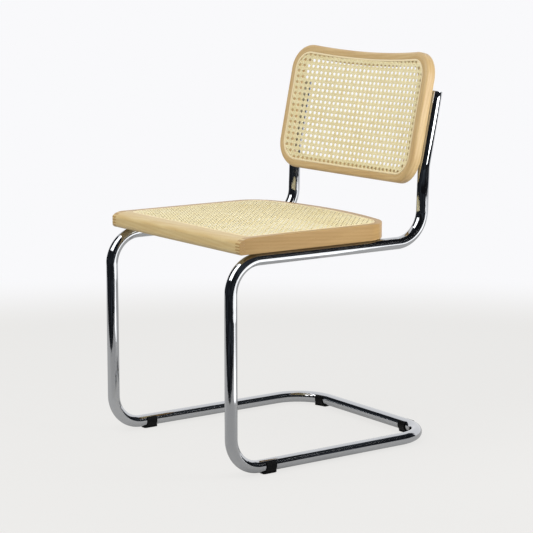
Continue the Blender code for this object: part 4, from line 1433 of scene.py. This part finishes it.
@dataclass
class BackFrame:
    """The bent frame of the back, hollow towards the sitter, with its rounded edges."""

    finish: bpy.types.Material
    overhang: float = 0.0098
    bottom: float = -0.0418
    top: float = 0.2223
    crown_rise: float = 0.0102
    hollow: float = 0.019
    thickness: float = 0.0268
    corner: float = 0.057
    edge: float = 0.008
    edge_steps: int = 9
    land: float = 0.015
    ledge: float = 0.0095
    ledge_round: float = 0.0008
    side_ledge: float = 0.016
    lip: float = 0.008             # thickness at the opening
    flat: float = 0.013            # inset at which the full thickness is reached
    bulge: float = 0.004           # of the slope between them

    @property
    def half(self) -> float:
        """Half of the back's width."""
        return PLAN.half_width + self.overhang

    @property
    def bend(self) -> float:
        """Rise of the hollow over the square of the distance from the middle."""
        return self.hollow / PLAN.half_width ** 2

    def place(self) -> Matrix:
        """From the back's own flat plane, with Z out of its front, to the chair."""
        ahead = PLAN.tube_radius + 2 * PLAN.gap + self.thickness - self.hollow
        turned = Matrix((Vector((1, 0, 0)), PLAN.up, PLAN.out)).transposed().to_4x4()
        return Matrix.Translation(PLAN.kink + PLAN.out * ahead) @ turned

    def point(self, x: float, rise: float, depth: float) -> Vector:
        """A point of the back: across, up its plane from the kink, and behind its front face."""
        return self.place() @ Vector((x, rise, self.bend * x * x - depth))

    @property
    def opening(self) -> float:
        """Inset of the opening, above and below."""
        return self.land + PLAN.groove_width + self.ledge

    def outline(self, inset: float, side_more: float = 0.0) -> list[Point2]:
        """The frame's outline in its plane, brought in by an inset.

        Args:
            inset: How far.
            side_more: How much further at the sides.
        Returns:
            Points round the frame.
        """
        radius = self.corner - inset
        points = rounded_rectangle(self.half - inset - side_more, self.bottom + inset,
                                   self.top - inset, radius, radius)
        tall = self.top - self.bottom
        return [(x, rise + self.crown_rise * (x / self.half) ** 2 * (rise - self.bottom) / tall)
                for x, rise in points]

    def rear_slope(self, steps: int = 12) -> list[tuple[float, float, float]]:
        """The rounded slope from the lip at the opening out to the full thickness.

        Args:
            steps: Number of its straight steps.
        Returns:
            Its points, as (inset, depth, how much further in at the sides).
        """
        run, rise = self.opening - self.flat, self.thickness - self.lip
        side = self.side_ledge - self.ledge
        slope = []
        for share in [i / steps for i in range(steps + 1)]:
            swell = 4 * self.bulge * share * (1 - share) / hypot(run, rise)
            slope.append((self.opening - run * share + rise * swell,
                          self.lip + rise * share + run * swell, side * (1 - share)))
        return slope

    def build(self) -> None:
        """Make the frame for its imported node."""
        bm = bmesh.new()
        ledge_depth, side = PLAN.cane_thickness + PLAN.gap, self.side_ledge - self.ledge
        ease = self.ledge_round
        section = [(inset, depth, 0.0) for inset, depth in groove_section(self.land)]
        section += [(self.opening - ease, ledge_depth, side),
                    (self.opening, ledge_depth + ease, side)] + self.rear_slope()
        section += [(inset, depth, 0.0)
                    for inset, depth in outer_section(self.thickness, self.edge, self.edge_steps)]
        skin(bm, [[self.point(x, rise, depth) for x, rise in self.outline(inset, side_more)]
                  for inset, depth, side_more in section], closed=True)
        back = mesh_from("back_frame_beech", bm, self.finish, angle=40)
        loop = self.outline(self.opening / 2)
        count = len(loop)
        loop = loop[count * 5 // 8:] + loop[:count * 5 // 8]
        path = [self.point(x, rise, self.thickness / 2) for x, rise in loop]
        follow_grain(back, path, PLAN.out, closed=True)
        finish_piece(back, "back_beech", "back_frame")


# Cane and splines


@dataclass
class Spline:
    """The reed that holds the cane in its groove."""

    name: str
    node: str
    finish: bpy.types.Material
    outline: Callable[[float], list[Point2]]
    land: float
    place: Matrix
    up: Vector
    bend: float = 0.0
    proud: float = 0.0005
    shoulder: float = 0.0004       # depth at which its crown starts
    crown_steps: int = 10

    def build(self) -> None:
        """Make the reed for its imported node."""
        outer = self.land + PLAN.gap / 2
        inner = outer + PLAN.groove_width - PLAN.gap
        deep = PLAN.groove_depth - PLAN.gap
        half, middle = (inner - outer) / 2, (inner + outer) / 2
        low, steps = self.shoulder, self.crown_steps
        section = [(outer, deep), (outer, low)]
        section += [(middle - half * cos(a), low - (self.proud + low) * sin(a))
                    for a in [pi * i / steps for i in range(1, steps)]]
        section += [(inner, low), (inner, deep)]
        rings = [[self.place @ Vector((x, y, self.bend * x * x - depth))
                  for x, y in self.outline(inset)] for inset, depth in section]
        bm = bmesh.new()
        skin(bm, rings, closed=True)
        reed = mesh_from(self.name, bm, self.finish, angle=50)
        loop = self.outline(middle)
        count = len(loop)
        loop = loop[count // 2:] + loop[:count // 2]
        path = [self.place @ Vector((x, y, self.bend * x * x)) for x, y in loop]
        follow_grain(reed, path, self.up, closed=True)
        finish_piece(reed, "reed", self.node)


class Course(Enum):
    """The four courses of the six-way weave, each with its turn and its strands to a row."""

    UPRIGHT = ("upright", 0.0, 2)
    CROSS = ("cross", 90.0, 2)
    RISING = ("rising", 45.0, 1)
    FALLING = ("falling", -45.0, 1)


@dataclass
class CanePanel:
    """A panel of six-way woven cane, strand by strand, clipped to its frame's groove."""

    name: str
    node: str
    finish: bpy.types.Material
    outline: list[Point2]
    place: Matrix
    pitch: Point2
    columns: int
    rows: int
    bend: float = 0.0
    strand_width: float = 0.0029
    strand_thickness: float = 0.0008
    single_width: float = 0.92     # of that, on the diagonals
    pair_spacing: float = 0.0031
    middle: Point2 = (0.0, 0.0)
    mid_depth: float = 0.0008
    steps: int = 8                 # along a strand, to one mesh
    ring_sides: int = 8
    spare: int = 3                 # meshes laid past the panel, to be cut off
    tone_seed: int = 11

    def window(self) -> bpy.types.Object:
        """Make a flat face in the panel's own plane, which tells where the strands end.

        Returns:
            The face's object.
        """
        bm = bmesh.new()
        bm.faces.new([bm.verts.new((x, y, 0.0)) for x, y in self.outline])
        return mesh_from("cane_window", bm, self.finish)

    def sums(self) -> list[tuple]:
        """The sums that lay a strand's points out, in the order in which they are worked out.

        A strand runs over and under by a bump on either side of a crossing, which the number
        of the cell's side turns up or down. Diagonal strands run in a plain wave.

        Returns:
            Each sum's name, operation and terms, which are numbers or names.
        """
        rows = [("half length", 'MULTIPLY', "Length", 0.5),
                ("half length back", 'MULTIPLY', "half length", -1.0),
                ("gaps", 'SUBTRACT', "Strands", 1.0),
                ("half spacing back", 'MULTIPLY', "Spacing", -0.5),
                ("first", 'MULTIPLY', "gaps", "half spacing back"),
                ("first left", 'MULTIPLY_ADD', "Pair Offset", -1.0, "first"),
                ("first right", 'MULTIPLY_ADD', "Pair Offset", 1.0, "first"),
                ("half width", 'MULTIPLY', "Strand Width", 0.5),
                ("half thickness", 'MULTIPLY', "Strand Thickness", 0.5),
                ("rind across", 'MULTIPLY', "ring across", "half width"),
                ("rind up", 'MULTIPLY', "ring up", "half thickness")]
        for way, half in (("across", "Half Pair Across"), ("along", "Half Pair Along")):
            rows += [(f"nearest {way}", 'ROUND', way),
                     (f"off {way}", 'SUBTRACT', way, f"nearest {way}"),
                     (f"side {way}", 'SIGN', f"off {way}"),
                     (f"pairs {way}", 'DIVIDE', f"off {way}", half),
                     (f"square {way}", 'MULTIPLY', f"pairs {way}", f"pairs {way}"),
                     (f"rest {way}", 'SUBTRACT', 1.0, f"square {way}"),
                     (f"half rest {way}", 'MULTIPLY', f"rest {way}", 0.5),
                     (f"fall {way}", 'EXPONENT', f"half rest {way}"),
                     (f"bump {way}", 'MULTIPLY', f"pairs {way}", f"fall {way}")]
        return rows + [("upright side", 'MULTIPLY', "upright lift", "side across"),
                       ("upright", 'MULTIPLY', "upright side", "bump along"),
                       ("cross side", 'MULTIPLY', "cross lift", "side along"),
                       ("cross", 'MULTIPLY', "cross side", "bump across"),
                       ("wave turn", 'MULTIPLY', "along", 2 * pi),
                       ("wave", 'COSINE', "wave turn"),
                       ("single", 'MULTIPLY', "Single Lift", "wave"),
                       ("pair height", 'ADD', "upright", "cross"),
                       ("both heights", 'ADD', "pair height", "single"),
                       ("height", 'SUBTRACT', "both heights", "Mid Depth"),
                       ("x", 'MULTIPLY', "across", "Pitch Across"),
                       ("y", 'MULTIPLY', "along", "Pitch Along"),
                       ("x square", 'MULTIPLY', "x", "x"),
                       ("z", 'MULTIPLY_ADD', "x square", "Bend", "height")]

    def tree(self) -> bpy.types.NodeTree:
        """Nodes that weave one course of strands in cells of one pitch.

        Returns:
            The tree.
        """
        tree = bpy.data.node_groups.new("weave_cane", 'GeometryNodeTree')
        face = tree.interface
        face.new_socket("Start", in_out='INPUT', socket_type='NodeSocketGeometry')
        for label, kind in (("Window", 'Object'), ("Cane", 'Material'), ("Strands", 'Int'),
                            ("Length", 'Float'), ("Spacing", 'Float'), ("Pair Offset", 'Float'),
                            ("Turn", 'Float'), ("Pitch Across", 'Float'), ("Pitch Along", 'Float'),
                            ("Centre", 'Vector'), ("Step", 'Float'), ("Pair Lift", 'Vector'),
                            ("Single Lift", 'Float'), ("Half Pair Across", 'Float'),
                            ("Half Pair Along", 'Float'), ("Strand Width", 'Float'),
                            ("Strand Thickness", 'Float'), ("Bend", 'Float'),
                            ("Mid Depth", 'Float'), ("Seed", 'Int')):
            face.new_socket(label, in_out='INPUT', socket_type="NodeSocket" + kind)
        face.new_socket("Panel", in_out='OUTPUT', socket_type='NodeSocketGeometry')
        given = add(tree, "NodeGroupInput").outputs
        here = add(tree, "GeometryNodeInputPosition").outputs[0]
        turned = add(tree, "ShaderNodeVectorRotate", {"rotation_type": 'Z_AXIS'},
                     {"Vector": here, "Angle": given["Turn"]})
        cell = add(tree, "ShaderNodeSeparateXYZ", None, {0: turned.outputs[0]}).outputs
        lift = add(tree, "ShaderNodeSeparateXYZ", None, {0: given["Pair Lift"]}).outputs
        squared = add(tree, "ShaderNodeVectorRotate", {"rotation_type": 'Z_AXIS'},
                      {"Vector": here, "Angle": pi / self.ring_sides})
        rind = add(tree, "ShaderNodeSeparateXYZ", None, {0: squared.outputs[0]}).outputs
        known = {socket.name: socket for socket in given if socket.name}
        known |= {"across": cell["X"], "along": cell["Y"], "upright lift": lift["X"],
                  "cross lift": lift["Y"], "ring across": rind["X"], "ring up": rind["Y"]}
        for name, operation, *terms in self.sums():
            inputs = {k: known.get(term, term) for k, term in enumerate(terms)}
            known[name] = add(tree, "ShaderNodeMath", {"operation": operation}, inputs).outputs[0]

        low = add(tree, "ShaderNodeCombineXYZ", None, {"Y": known["half length back"]})
        high = add(tree, "ShaderNodeCombineXYZ", None, {"Y": known["half length"]})
        line = add(tree, "GeometryNodeCurvePrimitiveLine", None,
                   {"Start": low.outputs[0], "End": high.outputs[0]})
        step = add(tree, "ShaderNodeCombineXYZ", None, {"X": given["Spacing"]})
        rows = []
        for name in ("first left", "first right"):
            start = add(tree, "ShaderNodeCombineXYZ", None, {"X": known[name]})
            rows.append(add(tree, "GeometryNodeMeshLine", {"mode": 'OFFSET'},
                            {"Count": given["Strands"], "Start Location": start.outputs[0],
                             "Offset": step.outputs[0]}).outputs["Mesh"])
        points = add(tree, "GeometryNodeJoinGeometry")
        for row in rows[::-1]:
            tree.links.new(row, points.inputs[0])
        merged = add(tree, "GeometryNodeMergeByDistance", None,
                     {"Geometry": points.outputs[0], "Distance": 0.001})
        laid = add(tree, "GeometryNodeInstanceOnPoints", None,
                   {"Points": merged.outputs[0], "Instance": line.outputs[0]})
        strands = add(tree, "GeometryNodeRealizeInstances", None, {0: laid.outputs[0]})
        fine = add(tree, "GeometryNodeResampleCurve", {"mode": 'LENGTH'},
                   {"Curve": strands.outputs[0], "Length": given["Step"]})
        spin = add(tree, "FunctionNodeRandomValue", {"data_type": 'FLOAT'},
                   {2: 0.0, 3: 1.0, "Seed": given["Seed"]})
        toned = add(tree, "GeometryNodeStoreNamedAttribute",
                    {"data_type": 'FLOAT', "domain": 'CURVE'},
                    {"Geometry": fine.outputs[0], "Name": "tone", "Value": spin.outputs[1]})
        flat = add(tree, "ShaderNodeCombineXYZ", None,
                   {"X": known["x"], "Y": known["y"], "Z": known["z"]})
        moved = add(tree, "ShaderNodeVectorMath", {"operation": 'ADD'},
                    {0: flat.outputs[0], 1: given["Centre"]})
        bent = add(tree, "GeometryNodeSetPosition", None,
                   {"Geometry": toned.outputs[0], "Position": moved.outputs[0]})
        hole = add(tree, "GeometryNodeObjectInfo", None, {"Object": given["Window"]})
        above = add(tree, "ShaderNodeVectorMath", {"operation": 'ADD'},
                    {0: here, 1: (0.0, 0.0, 1.0)})
        seen = add(tree, "GeometryNodeRaycast", None,
                   {"Target Geometry": hole.outputs["Geometry"],
                    "Source Position": above.outputs[0], "Ray Direction": (0.0, 0.0, -1.0),
                    "Ray Length": 2.0})
        missed = add(tree, "FunctionNodeBooleanMath", {"operation": 'NOT'},
                     {0: seen.outputs["Is Hit"]})
        clipped = add(tree, "GeometryNodeDeleteGeometry", {"domain": 'POINT'},
                      {"Geometry": bent.outputs[0], "Selection": missed.outputs[0]})
        level = add(tree, "GeometryNodeSetCurveNormal", {"mode": 'Z_UP'},
                    {"Curve": clipped.outputs[0]})
        ring = add(tree, "GeometryNodeCurvePrimitiveCircle", None,
                   {"Resolution": self.ring_sides, "Radius": 1 / cos(pi / self.ring_sides)})
        spot = add(tree, "ShaderNodeCombineXYZ", None,
                   {"X": known["rind across"], "Y": known["rind up"]})
        profile = add(tree, "GeometryNodeSetPosition", None,
                      {"Geometry": ring.outputs[0], "Position": spot.outputs[0]})
        body = add(tree, "GeometryNodeCurveToMesh", None,
                   {"Curve": level.outputs[0], "Profile Curve": profile.outputs[0],
                    "Fill Caps": True})
        smooth = add(tree, "GeometryNodeSetShadeSmooth", None, {0: body.outputs[0]})
        real = add(tree, "GeometryNodeRealizeInstances", None, {0: smooth.outputs[0]})
        done = add(tree, "GeometryNodeSetMaterial", None,
                   {"Geometry": real.outputs[0], "Material": given["Cane"]})
        add(tree, "NodeGroupOutput", None, {"Panel": done.outputs[0]})
        return tree

    def build(self) -> None:
        """Weave the four courses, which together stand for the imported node."""
        tree = self.tree()
        window = self.window()
        centre = Vector((*self.middle, 0.0))
        half_across = self.pair_spacing / 2 / self.pitch[0]
        half_along = self.pair_spacing / 2 / self.pitch[1]
        lift = self.strand_thickness / 2
        wide, tall = self.columns + self.spare, self.rows + self.spare
        for seed, course in enumerate(Course):
            label, degrees, strands = course.value
            single = strands == 1
            upright = course is Course.UPRIGHT
            reach = 1.5 * max(wide, tall)
            values = {
                "Window": window, "Cane": self.finish, "Seed": self.tone_seed + seed,
                "Strands": 2 * max(wide, tall) if single else (wide if upright else tall),
                "Length": 2 * round(reach) if single else 2.0 * ((tall if upright else wide) // 2),
                "Spacing": 1 / sqrt(2) if single else 1.0,
                "Pair Offset": 0.0 if single else half_across if upright else half_along,
                "Turn": radians(degrees), "Pitch Across": self.pitch[0],
                "Pitch Along": self.pitch[1], "Centre": centre,
                "Step": sqrt(2) / self.steps if single else 1 / self.steps,
                "Pair Lift": Vector((lift if upright else 0.0,
                                     -lift if course is Course.CROSS else 0.0, 0.0)),
                "Single Lift": {Course.RISING: 2 * lift,
                                Course.FALLING: -2 * lift}.get(course, 0.0),
                "Half Pair Across": half_across, "Half Pair Along": half_along,
                "Strand Width": self.strand_width * (self.single_width if single else 1.0),
                "Strand Thickness": self.strand_thickness, "Bend": self.bend,
                "Mid Depth": self.mid_depth,
            }
            mesh = bpy.data.meshes.new("start")
            panel = bpy.data.objects.new(f"{self.name}_{label}", mesh)
            bpy.context.scene.collection.objects.link(panel)
            run_tree(panel, tree, values)
            panel.data.transform(self.place)
            finish_piece(panel, "cane", self.node)
        bpy.data.objects.remove(window)


# Studio


@dataclass(frozen=True)
class Softbox:
    """One rectangular softbox, which the camera itself doesn't see."""

    name: str
    place: Point3
    aim: Point3
    size: Point2                   # width and height in metres
    watts: float
    turn: float = 0.0              # degrees about its own aim

    def hang(self) -> None:
        """Hang it in the scene."""
        data = bpy.data.lights.new(self.name, 'AREA')
        data.shape = 'RECTANGLE'
        data.size, data.size_y = self.size
        data.energy = self.watts
        box = bpy.data.objects.new(self.name, data)
        box.location = self.place
        way = Vector(self.aim) - Vector(self.place)
        aimed = way.to_track_quat('-Z', 'Y').to_matrix().to_4x4()
        box.rotation_euler = (Matrix.Rotation(radians(self.turn), 4, way) @ aimed).to_euler()
        box.visible_camera = False
        bpy.context.scene.collection.objects.link(box)


@dataclass
class Studio:
    """Pale paper, soft lamps and the camera that took the picture."""

    camera_place: Point3 = (3.1061, -2.2237, 1.0087)
    azimuth: float = 54.595
    elevation: float = 9.59
    focal_pixels: float = 1864.07
    frame_pixels: int = 533
    sensor: float = 36.0
    backdrop: str = "#F9F9FB"
    air: str = "#D0D1D4"           # what the backdrop gives as light
    paper_radius: float = 14.0
    paper_sides: int = 64
    drape_span: Span = (205.0, 420.0)       # degrees, seen from the drapes' middle
    drape_sides: int = 48
    drape_foot: float = 0.004
    drape_middle: Point2 = (-1.28, 2.217)
    drape_near: float = 3.5
    drape_far: float = 6.6
    drape_top: float = 3.2
    skylight_middle: Point2 = (-2.2, 1.3)
    skylight_radius: float = 2.6
    flag: tuple[Point2, Point2] = ((0.27, -0.3), (1.35, 1.3))   # board under the side box, seen only in gloss: a painted dark reflection that hides the box from the tubes below, but keeps none of its light off
    flag_height: float = 0.52
    overhead_aside: float = 0.62

    def camera(self) -> None:
        """Make the camera and give it to the scene."""
        data = bpy.data.cameras.new("camera")
        data.sensor_width = self.sensor
        data.lens = self.focal_pixels / self.frame_pixels * self.sensor
        data.clip_end = 100.0
        eye = bpy.data.objects.new("camera", data)
        eye.location = self.camera_place
        eye.rotation_euler = (radians(90 - self.elevation), 0.0, radians(self.azimuth))
        bpy.context.scene.collection.objects.link(eye)
        bpy.context.scene.camera = eye

    def paper(self) -> None:
        """Lay the paper as one wide disc, wider than any view of the chair."""
        bm = bmesh.new()
        bmesh.ops.create_circle(bm, cap_ends=True, radius=self.paper_radius,
                                segments=self.paper_sides)
        floor = mesh_from("paper_floor", bm, StudioPaper("seamless_paper").build())

    def surroundings(self) -> None:
        """Give the world the backdrop's colour, and a softer level for the light it scatters."""
        world = bpy.data.worlds.new("studio")
        world.use_nodes = True
        tree = world.node_tree
        shown = add(tree, "ShaderNodeMix", {"data_type": 'RGBA'},
                    {0: seen_directly(tree), 6: linear(self.air), 7: linear(self.backdrop)})
        tree.links.new(shown.outputs[2], tree.nodes["Background"].inputs["Color"])
        bpy.context.scene.world = world

    def drapes(self) -> None:
        """Hang black drapes round and over the set, and a board, all seen only in gloss: glowing
        painted reflections, which neither light nor shade the chair.
        """
        bm = bmesh.new()
        count, foot = self.drape_sides, self.drape_foot
        start, end = self.drape_span
        turns = [start + (end - start) * i / count for i in range(count + 1)]
        near, far, top = self.drape_near, self.drape_far, self.drape_top
        rows = [[bm.verts.new((x + r * cos(radians(a)), y + r * sin(radians(a)), z))
                 for a in turns]
                for (x, y), r, z in ((self.drape_middle, near, foot),
                                     (self.drape_middle, far, foot),
                                     (self.drape_middle, far, top),
                                     (self.skylight_middle, self.skylight_radius, top))]
        for row, after in zip(rows[:-1], rows[1:]):
            for k in range(count):
                bm.faces.new((row[k], row[k + 1], after[k + 1], after[k]))
        (left, front), (right, rear) = self.flag
        bm.faces.new([bm.verts.new((x, y, self.flag_height)) for x, y in
                      ((left, front), (right, front), (right, rear), (left, rear))])
        drape = mesh_from("black_drape", bm, PaintedLightDrape("black_drape_cloth").build())
        # Painted reflection: drapes and board show only in gloss and cast no shade
        for kind in ("camera", "diffuse", "transmission", "volume_scatter", "shadow"):
            setattr(drape, f"visible_{kind}", False)

    def lamps(self) -> list[Softbox]:
        """The softboxes: three strips overhead, two panels that light upwards, and a side box."""
        aside = self.overhead_aside
        strips = [Softbox(f"overhead_{name}", place=(along, -1.55, 2.05),
                          aim=(0.3 * along, 0.0, 0.4), size=(0.42, 1.8), watts=8.5)
                  for name, along in (("left", -aside), ("middle", 0.0), ("right", aside))]
        return strips + [
            Softbox("near_panel", place=(0.96, 0.39, 0.02), aim=(0.96, 0.39, 1.0),
                    size=(0.85, 0.56), watts=2.3, turn=41.0),
            Softbox("far_panel", place=(2.26, 1.52, 0.02), aim=(2.26, 1.52, 1.0),
                    size=(2.6, 2.0), watts=24.0, turn=41.0),
            Softbox("side_box", place=(1.04, 0.63, 0.80), aim=(0.22, 0.22, 0.66),
                    size=(0.62, 0.5), watts=6.6)]

    def build(self) -> None:
        """Set up the whole studio."""
        self.camera()
        self.paper()
        self.surroundings()
        self.drapes()
        for lamp in self.lamps():
            lamp.hang()


def main() -> None:
    """Build every sub-assembly in order and report each piece."""
    logging.basicConfig(level=logging.INFO, format="%(name)s: %(message)s")
    bpy.context.scene.view_settings.view_transform = 'Standard'
    chrome = ChromePlate("chrome_plated_steel").build()
    rail_beech = LacqueredBeech("steam_bent_beech", light="#BC975E", dark="#AC874D",
                                end_grain="#AB8755").build()
    board_beech = LacqueredBeech("sawn_beech", light="#D8C18C", dark="#CBAD74",
                                 end_grain="#B28D58").build()
    back_beech = LacqueredBeech("bent_back_beech", light="#D3B886", dark="#C2A06C").build()
    cane = SplitCane("split_rattan_cane").build()
    reed = PithReed("rattan_pith_reed").build()

    screws = Screws(ZincPlate("zinc_plated_steel").build())
    tube = TubeFrame(chrome, holes=[(place, way) for _, place, way in screws.places()])
    tube.build()
    PostCaps(chrome).build()
    Glides(MouldedNylon("black_nylon").build()).build(tube.axis())
    screws.build()
    seat = SeatFrame(rail_beech, board_beech)
    seat.build()
    back = BackFrame(back_beech)
    back.build()
    Spline("seat_reed", "seat_spline", reed, seat.outline, PLAN.land, seat.place(), UP).build()
    Spline("back_reed", "back_spline", reed, back.outline, back.land, back.place(), PLAN.out,
           back.bend).build()
    tucked = PLAN.groove_width - 0.0008
    CanePanel("seat_weave", "seat_cane", cane, seat.outline(PLAN.land + tucked), seat.place(),
              pitch=(0.0141, 0.0131), columns=31, rows=31, middle=(0.0, 0.215),
              strand_width=0.0032, strand_thickness=0.0010, pair_spacing=0.0034,
              steps=7).build()
    CanePanel("back_weave", "back_cane", cane, back.outline(back.land + tucked), back.place(),
              pitch=(0.01385, 0.01255), columns=32, rows=22, bend=back.bend,
              middle=(-0.0040, 0.0872)).build()
    Studio().build()


if __name__ == "__main__":
    main()
